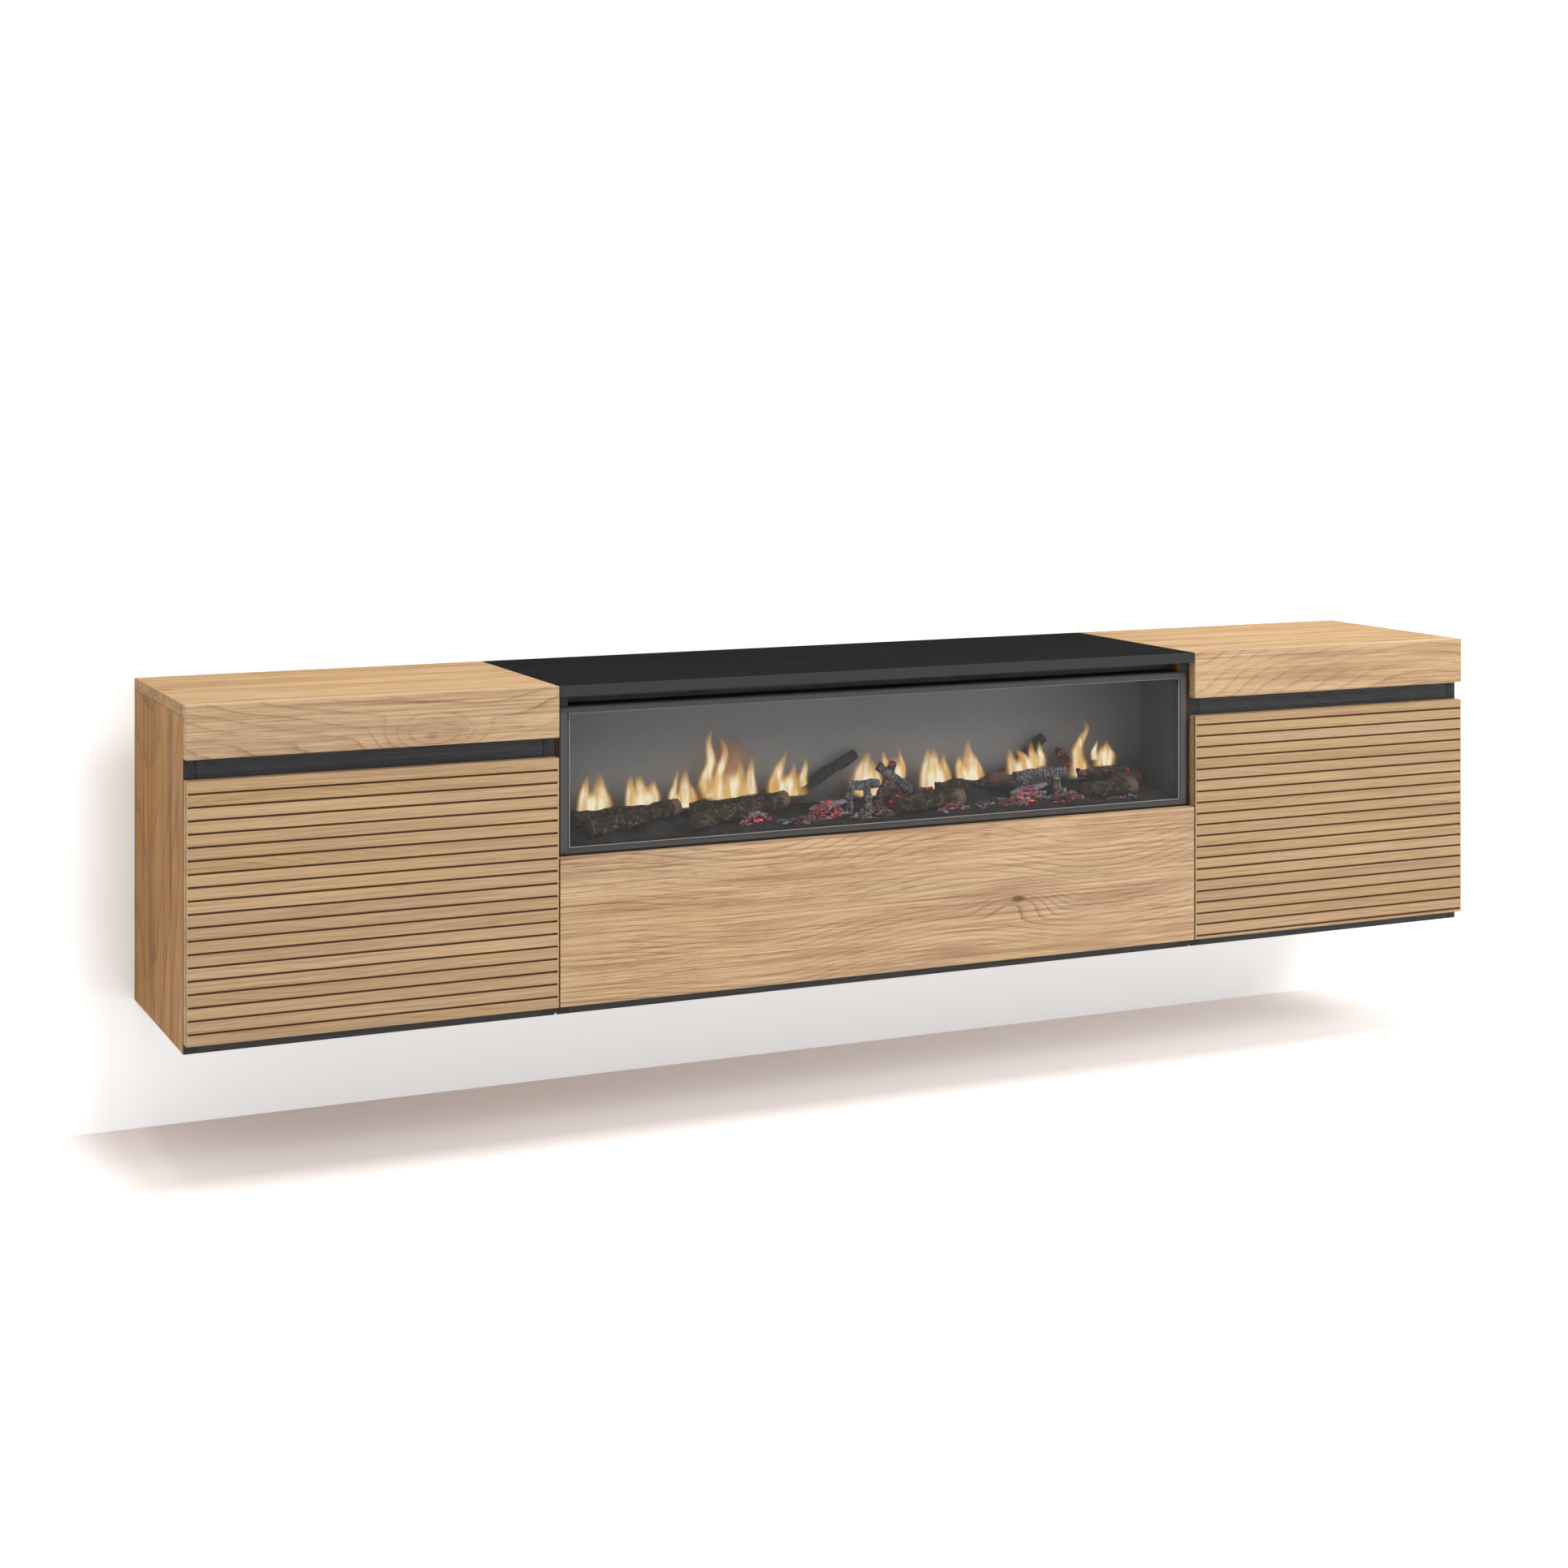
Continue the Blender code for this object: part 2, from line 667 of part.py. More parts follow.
def stay_parts(face, toward):
    """Plate, arm, strut and foot of one folding stay, next to the face of a side board."""
    case_pivot, elbow, flap_pivot = stay_points()
    eye = stay_pin_radius + stay_pin_gap
    half_bar = stay_bar_width / 2
    arm_start = fit_gap + stay_bar + stay_layer_gap
    strut_start = arm_start + stay_bar + stay_layer_gap
    foot_start = strut_start + stay_bar + stay_layer_gap

    half_plate = stay_plate_length / 2 - stay_plate_width / 2
    plate_rim = bar_outline(
        case_pivot - Vector((0, half_plate)), case_pivot + Vector((0, half_plate)), stay_plate_width / 2)
    case_y, case_up = inner_y - case_pivot[0], flap_z + case_pivot[1]
    head_start = arm_start + stay_bar + fit_gap
    plate = fused([
        side_plate([plate_rim], layer(face, toward, fit_gap, stay_bar), inner_y, flap_z),
        rod(stay_pin_radius, layer(face, toward, fit_gap + stay_bar / 2, head_start), case_y, case_up),
        rod(stay_head_radius, layer(face, toward, head_start, stay_head), case_y, case_up),
    ])

    elbow_y, elbow_up = inner_y - elbow[0], flap_z + elbow[1]
    arm_bar = [bar_outline(case_pivot, elbow, half_bar), circle(case_pivot, eye)]
    elbow_head = strut_start + stay_bar + fit_gap
    arm = fused([
        side_plate(arm_bar, layer(face, toward, arm_start, stay_bar), inner_y, flap_z),
        rod(stay_pin_radius, layer(face, toward, arm_start + stay_bar / 2, elbow_head - arm_start), elbow_y,
            elbow_up),
        rod(stay_head_radius, layer(face, toward, elbow_head, stay_head), elbow_y, elbow_up),
    ])

    strut_bar = [
        bar_outline(elbow, flap_pivot, half_bar),
        circle(elbow, stay_pin_radius + stay_open_gap),
        circle(flap_pivot, eye),
    ]
    strut = side_plate(strut_bar, layer(face, toward, strut_start, stay_bar), inner_y, flap_z)

    ear = arc(flap_pivot, half_bar, 90, 270, 6)
    ear += [(-fit_gap, flap_pivot[1] - half_bar), (-fit_gap, flap_pivot[1] + half_bar)]
    foot_low = flap_z + flap_pivot[1] - stay_foot_height / 2
    foot = fused([
        side_plate([ear], layer(face, toward, foot_start, stay_bar), inner_y, flap_z),
        box(layer(face, toward, foot_start, stay_foot_length),
            (inner_y + fit_gap, inner_y + fit_gap + stay_foot_thickness),
            (foot_low, foot_low + stay_foot_height)),
        rod(stay_pin_radius, layer(face, toward, strut_start - stay_layer_gap / 2,
                                   stay_bar + stay_layer_gap + stay_bar),
            inner_y + stay_pivot_back, flap_z + stay_pivot_up),
    ])
    return plate, arm, strut, foot


def at_pivot(mesh, pivot):
    """Shift a mesh so that its origin lies on a pivot, and give the pivot's place."""
    place = Vector((0, inner_y - pivot[0], flap_z + pivot[1]))
    return moved(mesh, *(-place)), place


def add_stay(name, face, toward, axis_x):
    """The stay of one flap, beside the face of a side board."""
    case_pivot, _, flap_pivot = stay_points()
    plate, arm, strut, foot = stay_parts(face, toward)
    add_piece(name + "_stay_plate", plate, "zinc")
    for part, mesh, pivot in (("arm", arm, case_pivot), ("strut", strut, flap_pivot)):
        shape, place = at_pivot(mesh, pivot)
        add_piece(name + "_stay_" + part, shape, "zinc", place)
    axis = Vector((axis_x, hinge_y, hinge_z))
    add_piece(name + "_stay_foot", moved(foot, *(-axis)), "zinc", axis)


def add_cleats(name, low_face, high_face, under):
    """A bevelled cleat on the wall and the one behind the cabinet that hooks over it."""
    wall_outline = [
        (0, -wall_cleat_low), (wall_cleat, -wall_cleat_low), (wall_cleat, wall_cleat_high + wall_cleat),
        (0, wall_cleat_high),
    ]
    low = low_face + wall_cleat_end
    high = high_face - wall_cleat_end
    wall = add_piece(name + "_wall_cleat", side_plate([wall_outline], (low, high)), "cleat")
    holes = []
    for share in cleat_hole_shares:
        x = (low + high) / 2 + share * (high - low)
        holes.append(turned(
            [(0, overrun), (cleat_hole_radius, overrun), (cleat_hole_radius, -wall_cleat - overrun),
             (0, -wall_cleat - overrun)], (x, 0, -cleat_hole_drop), 12))
    boolean(wall, add_tool(name + "_wall_cleat_holes", joined(holes)), "DIFFERENCE")
    front = back_inset - fit_gap
    bevel_gap = fit_gap * math.sqrt(2)
    cleat_top = under - cleat_top_gap
    outline = [
        (cleat_wall_gap, wall_cleat_high + cleat_wall_gap + bevel_gap),
        (front, wall_cleat_high + front + bevel_gap), (front, cleat_top), (cleat_wall_gap, cleat_top),
    ]
    hooked = side_plate([outline], (low_face + fit_gap, high_face - fit_gap))
    add_piece(name + "_cabinet_cleat", hooked, "cleat")


def ring(half_x, low_z, high_z, stile, bottom_rail, top_rail, y):
    """A rectangular frame of flat bars."""
    outer = box((-half_x, half_x), y, (low_z, high_z))
    hole = box(
        (stile - half_x, half_x - stile), (min(y) - overrun, max(y) + overrun),
        (low_z + bottom_rail, high_z - top_rail))
    return fused([outer], [hole])


def rotor_place():
    """The right end of the rotor between its brackets, and the place of its axis."""
    screen_back = screen_y + screen_thickness
    axis_y = (screen_back + case_back_y - case_sheet) / 2
    return room_x - rotor_end_gap, axis_y, room_z + rotor_floor_gap


def open_case():
    """The case as folded sheet, open at the front."""
    shape = bmesh.new()
    shape.from_mesh(box((-case_x, case_x), (carcass_y, case_back_y), (case_z, case_top_z)))
    front = [face for face in shape.faces if face.normal.y < -abs(face.normal.x) - abs(face.normal.z)]
    bmesh.ops.delete(shape, geom=front, context="FACES_ONLY")
    mesh = bpy.data.meshes.new("case")
    shape.to_mesh(mesh)
    shape.free()
    case = add_tool("case", mesh)
    wall = case.modifiers.new("sheet", "SOLIDIFY")
    wall.thickness = case_sheet
    wall.offset = -1
    return made_mesh(case)


def rotor_bracket(x, toward):
    """An upright with a bearing hole and a foot that is welded to the floor of the case."""
    _, axis_y, axis_z = rotor_place()
    half = rotor_bracket_width / 2
    floor = room_z - fit_gap - case_sheet / 2
    rim = [(-half, floor - axis_z), (half, floor - axis_z)] + arc((0, 0), half, 0, 180, 8)
    hole = circle((0, 0), rotor_shaft_radius + fit_gap, 12)
    upright = side_plate([rim, hole], (x, x + toward * rotor_bracket_sheet), axis_y, axis_z)
    foot = box((x, x + toward * rotor_bracket_foot), (axis_y - half, axis_y + half),
               (floor, floor + case_sheet / 2 + rotor_bracket_sheet))
    return fused([upright, foot])


def add_fire_case():
    """The sheet steel case of the insert, its front frame, bezel, glass and flame screen."""
    right = rotor_place()[0]
    brackets = [rotor_bracket(right, 1), rotor_bracket(-right + fit_gap, 1)]
    add_piece("fire_case", fused([open_case(), joined(brackets)]), "case")

    half = seam_x - frame_seam_gap
    back = carcass_y - fit_gap
    frame = ring(half, frame_z, frame_top_z, frame_stile, frame_bottom_rail, frame_top_rail,
                 (back - frame_sheet, back))
    soften(add_piece("front_frame", frame, "frame_grey"), frame_round)
    bezel_half = half - frame_stile - fit_gap
    bezel = ring(
        bezel_half, frame_z + frame_bottom_rail + fit_gap, frame_top_z - frame_top_rail - fit_gap,
        bezel_stile, bezel_bottom_rail, bezel_top_rail, (back - bezel_sheet, back))
    add_piece("glass_bezel", bezel, "bezel")
    glass = add_board("front_glass", (-room_x, room_x), (glass_y, glass_y + glass_thickness),
                      (room_z, room_top_z), "glass")
    glass.data.materials[0].node_tree.nodes["Principled BSDF"].inputs["IOR"].default_value = 1.45
    add_board("flame_screen", (-room_x, room_x), (screen_y, screen_y + screen_thickness),
              (room_z, room_top_z), "screen", edge=screen_thickness / 8)


def bed_point(across, back, up):
    """A place over the ember bed from its shares."""
    return Vector((across * room_x, bed_y + back * bed_depth, bed_z + up * log_radius))


def bed_height(x, y):
    """The bed's surface: it rises to the back and swells into heaps."""
    back = (y - bed_y) / bed_depth
    height = bed_z + bed_rise * back * back * (3 - 2 * back)
    for across_share, back_share, height_share in heap_shares:
        place = bed_point(across_share, back_share, 0)
        away = math.hypot(x - place.x, y - place.y) / heap_spread
        height += height_share * heap_height * math.exp(-away * away)
    return height


def add_fuel_bed():
    """The moulded bed: a grid lifted to the surface, closed below, with the logs fused to it."""
    shape = bmesh.new()
    middle_y = bed_y + bed_depth / 2
    size = Matrix.Diagonal((room_x, bed_depth / 2, 1, 1))
    bmesh.ops.create_grid(
        shape, x_segments=bed_columns, y_segments=bed_rows, size=1,
        matrix=Matrix.Translation((0, middle_y, bed_z)) @ size)
    for vertex in shape.verts:
        vertex.co.z = bed_height(vertex.co.x, vertex.co.y)
    rim = [edge for edge in shape.edges if edge.is_boundary]
    skirt = bmesh.ops.extrude_edge_only(shape, edges=rim)["geom"]
    for item in skirt:
        if isinstance(item, bmesh.types.BMVert):
            item.co.z = room_z
    lower = [edge for edge in shape.edges if edge.is_boundary]
    bmesh.ops.contextual_create(shape, geom=lower)
    logs = []
    for number, (start, end, thickness) in enumerate(log_shares):
        logs.append(log_tube(bed_point(*start), bed_point(*end), thickness * log_radius, number))
    channel = box(
        (-room_x - overrun, room_x + overrun),
        (middle_y - light_channel_width / 2, middle_y + light_channel_width / 2),
        (room_z - overrun, room_z + light_channel_height))
    add_piece("fuel_bed", fused([mesh_from(shape), *logs], [channel]), "bark")


def log_tube(start, end, radius, number):
    """One log: a tube whose middle wanders and whose thickness changes along it."""
    along = (end - start).normalized()
    side = along.cross(Vector((0, 0, 1))).normalized()
    lift = side.cross(along)
    points = []
    radii = []
    for ring_number in range(log_rings):
        share = ring_number / (log_rings - 1)
        phase = 2.1 * number + 5.3 * share
        bend = math.sin(math.pi * share)
        drift = side * math.sin(phase) + lift * math.cos(1.7 * phase) / 2
        points.append(start.lerp(end, share) + drift * bend * log_wander)
        radii.append(radius * (1 + 0.07 * math.sin(3.1 * phase)))
    return tube(points, radii, 3)


def add_ember_lights():
    """The light strip in the channel under the bed."""
    middle_y = bed_y + bed_depth / 2
    half_y = light_strip_width / 2
    strip = box((-room_x, room_x), (middle_y - half_y, middle_y + half_y),
                (room_z, room_z + light_strip_thickness))
    chips = []
    for index in range(light_chip_count):
        x = room_x * (2 * (index + 0.5) / light_chip_count - 1)
        chips.append(box(
            (x - light_chip / 2, x + light_chip / 2), (middle_y - light_chip / 2, middle_y + light_chip / 2),
            (room_z + light_strip_thickness / 2, room_z + light_strip_thickness + light_chip_height)))
    add_piece("ember_light_strip", fused([strip, joined(chips)]), "light_board")


def add_rotor():
    """A shaft with reflecting flags that turns behind the screen, and its motor."""
    right, axis_y, axis_z = rotor_place()
    span = 2 * right
    shaft = rod(rotor_shaft_radius, (-right, right + rotor_shaft_tail), 0, 0, 12)
    flags = []
    for index in range(rotor_flag_count):
        flag = box(
            (-rotor_flag_width / 2, rotor_flag_width / 2), (-rotor_flag_reach, rotor_flag_reach),
            (-rotor_flag_sheet / 2, rotor_flag_sheet / 2))
        x = -right + span * (index + 0.75) / (rotor_flag_count + 0.5)
        tilt = Matrix.Rotation(math.radians(rotor_flag_pitch_degrees), 4, "Y")
        turn = Matrix.Rotation(math.radians(rotor_flag_turn_degrees * index), 4, "X")
        flag.transform(Matrix.Translation((x, 0, 0)) @ turn @ tilt)
        flags.append(flag)
    add_piece("flame_rotor", fused([shaft, joined(flags)]), "mirror_foil", (0, axis_y, axis_z))

    motor_x = -right - fit_gap
    boss = rod(motor_boss_radius, (motor_x - motor_boss_length, motor_x), axis_y, axis_z)
    body = rod(motor_radius, (motor_x - motor_boss_length - motor_length, motor_x - motor_boss_length),
               axis_y, axis_z, 24)
    add_piece("rotor_motor", fused([boss, body]), "black_plastic")


def add_power_inlet():
    """The inlet on the back of the case, with its two pins."""
    x = inlet_share * case_x
    z = inlet_level()
    front = case_back_y + fit_gap
    rear = front + inlet_depth
    floor = rear - inlet_recess_depth
    body = box((x - inlet_width / 2, x + inlet_width / 2), (front, rear),
               (z - inlet_height / 2, z + inlet_height / 2))
    recess = box(
        (x - inlet_recess_width / 2, x + inlet_recess_width / 2), (floor, rear + overrun),
        (z - inlet_recess_height / 2, z + inlet_recess_height / 2))
    pins = []
    for side in (-1, 1):
        pins.append(turned(
            [(0, inlet_pin_length), (inlet_pin_radius, inlet_pin_length), (inlet_pin_radius, -overrun),
             (0, -overrun)],
            (x + side * inlet_pin_spread / 2, floor, z), 10))
    add_piece("power_inlet", fused([fused([body], [recess]), *pins]), "black_plastic")


def build():
    """Model the whole stand."""
    start_empty()
    add_side_cabinet("left", -1)
    add_side_cabinet("right", 1)
    add_centre_cabinet()
    outer = side_outer_x - flap_inset / 2
    seam = seam_x + flap_inset
    side_inner = side_outer_x - board
    left_room = (-side_inner, -side_face_x)
    right_room = (side_face_x, side_inner)
    centre_room = (-centre_inner_x, centre_inner_x)
    left_grooves = (left_first_groove, left_groove_pitch)
    right_grooves = (right_first_groove, right_groove_pitch)
    add_flap("left", -outer, -seam, side_flap_top_z, left_room, left_grooves)
    add_flap("right", seam, outer, side_flap_top_z, right_room, right_grooves)
    add_flap("centre", flap_inset - seam_x, seam_x - flap_inset, centre_flap_top_z, centre_room)
    add_stay("left", -side_face_x, -1, -(outer + seam) / 2)
    add_stay("right", side_face_x, 1, (outer + seam) / 2)
    add_stay("centre", -centre_inner_x, 1, 0)
    add_cleats("left", *left_room, oak_under_z)
    add_cleats("centre", *centre_room, black_under_z)
    add_cleats("right", *right_room, oak_under_z)
    add_fire_case()
    add_fuel_bed()
    add_ember_lights()
    add_rotor()
    add_power_inlet()


build()
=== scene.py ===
"""The looks of a wall-hung television stand with an electric fire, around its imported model.

Metres, +Z up. X runs along the wall, the front faces -Y and the wall is the plane Y = 0.
"""
import json
import math
import random

import bmesh
import bpy
from mathutils import Matrix, Vector, noise


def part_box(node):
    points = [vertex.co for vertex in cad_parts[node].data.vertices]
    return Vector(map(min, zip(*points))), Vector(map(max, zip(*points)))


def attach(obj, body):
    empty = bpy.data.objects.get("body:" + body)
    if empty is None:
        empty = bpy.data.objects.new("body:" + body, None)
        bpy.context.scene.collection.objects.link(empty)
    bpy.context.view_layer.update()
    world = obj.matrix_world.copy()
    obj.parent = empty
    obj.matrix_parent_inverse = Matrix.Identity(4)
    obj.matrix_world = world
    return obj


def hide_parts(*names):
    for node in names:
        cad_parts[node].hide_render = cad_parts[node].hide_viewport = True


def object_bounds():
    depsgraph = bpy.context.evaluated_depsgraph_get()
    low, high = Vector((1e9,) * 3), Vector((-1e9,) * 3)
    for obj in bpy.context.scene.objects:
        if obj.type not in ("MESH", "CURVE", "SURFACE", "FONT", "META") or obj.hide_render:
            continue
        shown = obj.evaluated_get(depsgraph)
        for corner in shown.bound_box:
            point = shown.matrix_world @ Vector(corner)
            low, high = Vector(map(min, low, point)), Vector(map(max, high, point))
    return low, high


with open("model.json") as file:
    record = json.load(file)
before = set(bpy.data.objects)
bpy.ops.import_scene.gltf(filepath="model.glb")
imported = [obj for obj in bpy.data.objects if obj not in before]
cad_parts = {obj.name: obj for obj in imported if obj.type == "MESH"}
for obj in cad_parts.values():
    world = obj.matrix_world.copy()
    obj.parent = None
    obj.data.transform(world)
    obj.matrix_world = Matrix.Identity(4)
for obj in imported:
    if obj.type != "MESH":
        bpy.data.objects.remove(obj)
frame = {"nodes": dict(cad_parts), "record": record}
cad_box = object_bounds()
stand = frame["nodes"]

# The photograph's view
image_pixels = 1932
focal_pixels = 3322.17
centre_pixels = (1077.72, 458.43)
camera_turn = 0.44738
camera_place = (-1.69022, -3.80461, 0.49834)
sensor_width = 36

# The room. The wall's opening: left, right, bottom, top. The seal: left, right, front, level
wall_gap = 0.0008
floor_drop = 0.178
room_reach = 12
wall_opening = (-0.997, 0.997, -0.367, 0.0725)
slot_seal = (-0.984, 0.984, -0.0178, -0.3695)
sky_level = 0.52

# The front of the carcass and the tops of the cabinets, and the slats' grooves from face to floor
carcass_front = -0.3331
black_front = -0.3485
groove_slope = (-0.3497, -0.3484)
groove_floor = -0.3460

# Slats of the side flaps: height of the first groove and distance between grooves
left_slats = (-0.3420, 0.01694)
right_slats = (-0.3517, 0.01671)

# Colours, and the pale and brown of each wood; the sides' oak is the fronts' oak with painted shade
white = (1.0, 1.0, 1.0)
black = (0.0, 0.0, 0.0)
# Painted shade: the dark brown that colours the slats' grooves for the shade in them
groove_painted_shade = (0.165, 0.080, 0.032)
black_edging = (0.040, 0.041, 0.043)
log_ash = (0.34, 0.36, 0.39)
ember_ash = (0.33, 0.34, 0.38)
front_oak = ((0.565, 0.392, 0.240), (0.335, 0.198, 0.112))
left_slat_oak = ((0.530, 0.365, 0.226), (0.310, 0.182, 0.105))
right_slat_oak = ((0.480, 0.331, 0.203), (0.285, 0.167, 0.094))
top_oak = ((0.590, 0.406, 0.240), (0.350, 0.215, 0.106))
# Painted shade: the fronts' oak made darker and browner for the shade and warm light on the stand's
# sides
painted_shade_side_oak = ((0.470, 0.228, 0.061), (0.195, 0.083, 0.020))
cleat_wood = ((0.560, 0.400, 0.230), (0.420, 0.270, 0.130))

# The fuel bed
bed_low, bed_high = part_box("fuel_bed")
bed_front_height = 0.0102
log_radius = 0.013

# Screws: head radius, distance from the edge, spacing and distance of the first from the end
leaf_screws = (0.0028, 0.0055, 0.09, 0.022)
back_screws = (0.0026, 0.008, 0.12, 0.012)
back_side_spacing = 0.10
case_head_height = 0.0009
flap_head_height = 0.0001
back_head_height = 0.0008


class Graph:
    """Short calls for adding shader nodes to one tree."""

    def __init__(self, tree):
        self.tree = tree

    def add(self, kind, **settings):
        node = self.tree.nodes.new("ShaderNode" + kind)
        for name, value in settings.items():
            setattr(node, name, value)
        return node

    def feed(self, socket, value):
        """Link a socket, or set a plain value on it."""
        if isinstance(value, bpy.types.NodeSocket):
            self.tree.links.new(value, socket)
        elif value is not None:
            socket.default_value = value

    def pass_on(self, node, *values):
        """Feed a node's sockets in their order."""
        for socket, value in zip(node.inputs, values):
            self.feed(socket, value)
        return node.outputs[0]

    def fill(self, node, **values):
        """Feed a node's sockets by name, with _ for a space."""
        for name, value in values.items():
            self.feed(node.inputs[name.replace("_", " ")], value)
        return node.outputs

    def math(self, operation, *values, clamp=False):
        return self.pass_on(self.add("Math", operation=operation, use_clamp=clamp), *values)

    def times(self, first, *others):
        for value in others:
            first = self.math("MULTIPLY", first, value)
        return first

    def minus(self, first, second):
        return self.math("SUBTRACT", first, second)

    def times_plus(self, value, factor, base):
        return self.math("MULTIPLY_ADD", value, factor, base)

    def lean(self, pattern, amount, base):
        """Shift a value up and down by a pattern around one half."""
        return self.times_plus(self.minus(pattern, 0.5), amount, base)

    def vector(self, x, y, z):
        return self.pass_on(self.add("CombineXYZ"), x, y, z)

    def split(self, vector):
        node = self.add("SeparateXYZ")
        self.feed(node.inputs[0], vector)
        return node.outputs

    def scaled(self, vector, scale):
        """Stretch a place before a pattern reads it."""
        return self.pass_on(self.add("VectorMath", operation="MULTIPLY_ADD"), vector, scale, (0, 0, 0))

    def noise(self, vector, scale=1.0, detail=2.0, roughness=0.5, distortion=0.0):
        return self.fill(self.add("TexNoise"), Vector=vector, Scale=scale, Detail=detail,
                         Roughness=roughness, Distortion=distortion)["Fac"]

    def cells(self, vector, feature="F1"):
        return self.fill(self.add("TexVoronoi", feature=feature), Vector=vector, Scale=1.0)

    def span(self, value, low, high, to_low=0.0, to_high=1.0, smooth=False):
        """Map one range of values to another, held at both ends."""
        node = self.add("MapRange", interpolation_type="SMOOTHSTEP" if smooth else "LINEAR")
        return self.pass_on(node, value, low, high, to_low, to_high)

    def ramp(self, value, stops):
        node = self.add("ValToRGB")
        self.feed(node.inputs[0], value)
        points = node.color_ramp.elements
        for place, colour in stops[2:]:
            points.new(place)
        for point, (place, colour) in zip(points, stops):
            point.position = place
            point.color = (*colour, 1)
        return node.outputs[0]

    def blend(self, factor, first, second, mode="MIX"):
        node = self.add("Mix", data_type="RGBA", blend_type=mode)
        self.feed(node.inputs["Factor"], factor)
        for socket, value in ((node.inputs[6], first), (node.inputs[7], second)):
            self.feed(socket, value if isinstance(value, bpy.types.NodeSocket) else (*value, 1))
        return node.outputs[2]

    def coats(self, colour, *layers):
        """Lay colours over one another, each where its mask shows."""
        for mask, layer in layers:
            colour = self.blend(mask, colour, layer)
        return colour

    def bump(self, height, strength, distance):
        return self.fill(self.add("Bump"), Height=height, Strength=strength, Distance=distance)[0]

    def place(self):
        """The place on the piece, in metres."""
        return self.add("TexCoord").outputs["Object"]

    def mark(self, name):
        """A piece's own attribute."""
        return self.add("Attribute", attribute_name=name).outputs["Fac"]

    def upward(self):
        """How far the surface faces up."""
        return self.split(self.add("NewGeometry").outputs["Normal"])[2]

    def seen(self, path):
        """Rays that show a surface to the view, straight, in a reflection or through glass."""
        return self.math("MAXIMUM", path["Is Camera Ray"], self.math(
            "MAXIMUM", path["Is Glossy Ray"], path["Is Transmission Ray"]))

    def group(self, name, **values):
        return self.fill(self.add("Group", node_tree=bpy.data.node_groups[name]), **values)


def new_effect(name, numbers, results):
    """A shared effect that reads Place and some numbers: its graph, its inputs and its last node."""
    tree = bpy.data.node_groups.new(name, "ShaderNodeTree")
    tree.interface.new_socket("Place", in_out="INPUT", socket_type="NodeSocketVector")
    for label, value in numbers.items():
        socket = tree.interface.new_socket(label, in_out="INPUT", socket_type="NodeSocketFloat")
        socket.default_value = value
    for label in results:
        tree.interface.new_socket(label, in_out="OUTPUT", socket_type="NodeSocketFloat")
    start = tree.nodes.new("NodeGroupInput")
    return Graph(tree), start.outputs, tree.nodes.new("NodeGroupOutput")


def make_grain_effect():
    """Figure of a flat-sawn board: grain runs along the first axis of Place."""
    graph, given, result = new_effect(
        "board grain", {"Seed": 0.0, "Heart": 0.02, "Arch": 0.16, "Rings": 150.0},
        ("Rings", "Pores", "Streaks", "Tone", "Blotch", "Knots", "Bands"))
    place, seed, heart, arch, rings = (given[index] for index in range(5))
    along, across, deep = graph.split(place)

    def field(along_scale, across_scale, shift=0.0, detail=2.0, roughness=0.5):
        spot = graph.vector(graph.times(along, along_scale), graph.times(across, across_scale),
                            graph.math("ADD", seed, shift))
        return graph.noise(spot, detail=detail, roughness=roughness)

    # Knots swell the rings around them
    knots = graph.cells(graph.vector(graph.times(along, 3.4), graph.times(across, 8.5), seed))
    chosen = graph.math("GREATER_THAN", graph.split(knots["Color"])[0], 0.55)
    swirl = graph.times(graph.span(knots["Distance"], 0.0, 0.36, 1.0, 0.0, smooth=True), chosen)

    # The distance from the tree's heart, which wanders along the board and gives the rings
    side = graph.lean(field(0.9, 1.2), 0.16, graph.math("ADD", across, heart))
    depth = graph.lean(field(1.5, 0.0, 7.3, 1.0), arch, deep)
    squares = graph.math("ADD", graph.times(side, side), graph.times(depth, depth))
    radius = graph.math("SQRT", squares)
    radius = graph.lean(field(2.2, 24.0, 1.7, 3.0), 0.0060, radius)
    radius = graph.lean(field(9.0, 120.0, 4.1, 2.0), 0.0008, radius)
    radius = graph.times_plus(swirl, 0.016, radius)
    turn = graph.math("FRACT", graph.times(radius, rings))
    line = graph.times(graph.math("POWER", turn, 7.0), graph.span(turn, 0.95, 1.0, 1.0, 0.0))
    broken = graph.span(field(1.8, 22.0, 2.2, 3.0), 0.36, 0.60, 0.10, 1.0)

    streaks = graph.noise(graph.scaled(place, (3.2, 300.0, 120.0)), detail=5.0, roughness=0.74)
    fine = graph.noise(graph.scaled(place, (24.0, 820.0, 500.0)), roughness=0.6)
    blotch = graph.span(field(3.2, 24.0, 9.4, 3.0, 0.6), 0.50, 0.72)
    knot = graph.span(knots["Distance"], 0.015, 0.060, 1.0, 0.0, smooth=True)
    graph.fill(result,
               Rings=graph.times(line, broken, graph.span(streaks, 0.30, 0.60, 0.50, 1.0)),
               Pores=graph.times(graph.span(fine, 0.56, 0.68),
                                 graph.span(field(3.0, 30.0, 5.5), 0.35, 0.65, 0.2, 1.0)),
               Streaks=streaks,
               Bands=graph.span(field(1.1, 34.0, 6.6, 4.0, 0.68), 0.47, 0.66),
               Tone=field(1.5, 7.0, 3.1),
               Blotch=graph.math("MAXIMUM", blotch, graph.times(swirl, 0.55)),
               Knots=graph.times(knot, chosen))


def make_mottle_effect():
    """Fine uneven speckle for paint, metal, board and moulded pieces."""
    graph, given, result = new_effect("fine mottle", {"Grain": 900.0, "Cloud": 30.0}, ("Fine", "Cloud"))
    graph.fill(result,
               Fine=graph.noise(given["Place"], given["Grain"], 2.0, 0.6),
               Cloud=graph.noise(given["Place"], given["Cloud"], 3.0, 0.55))


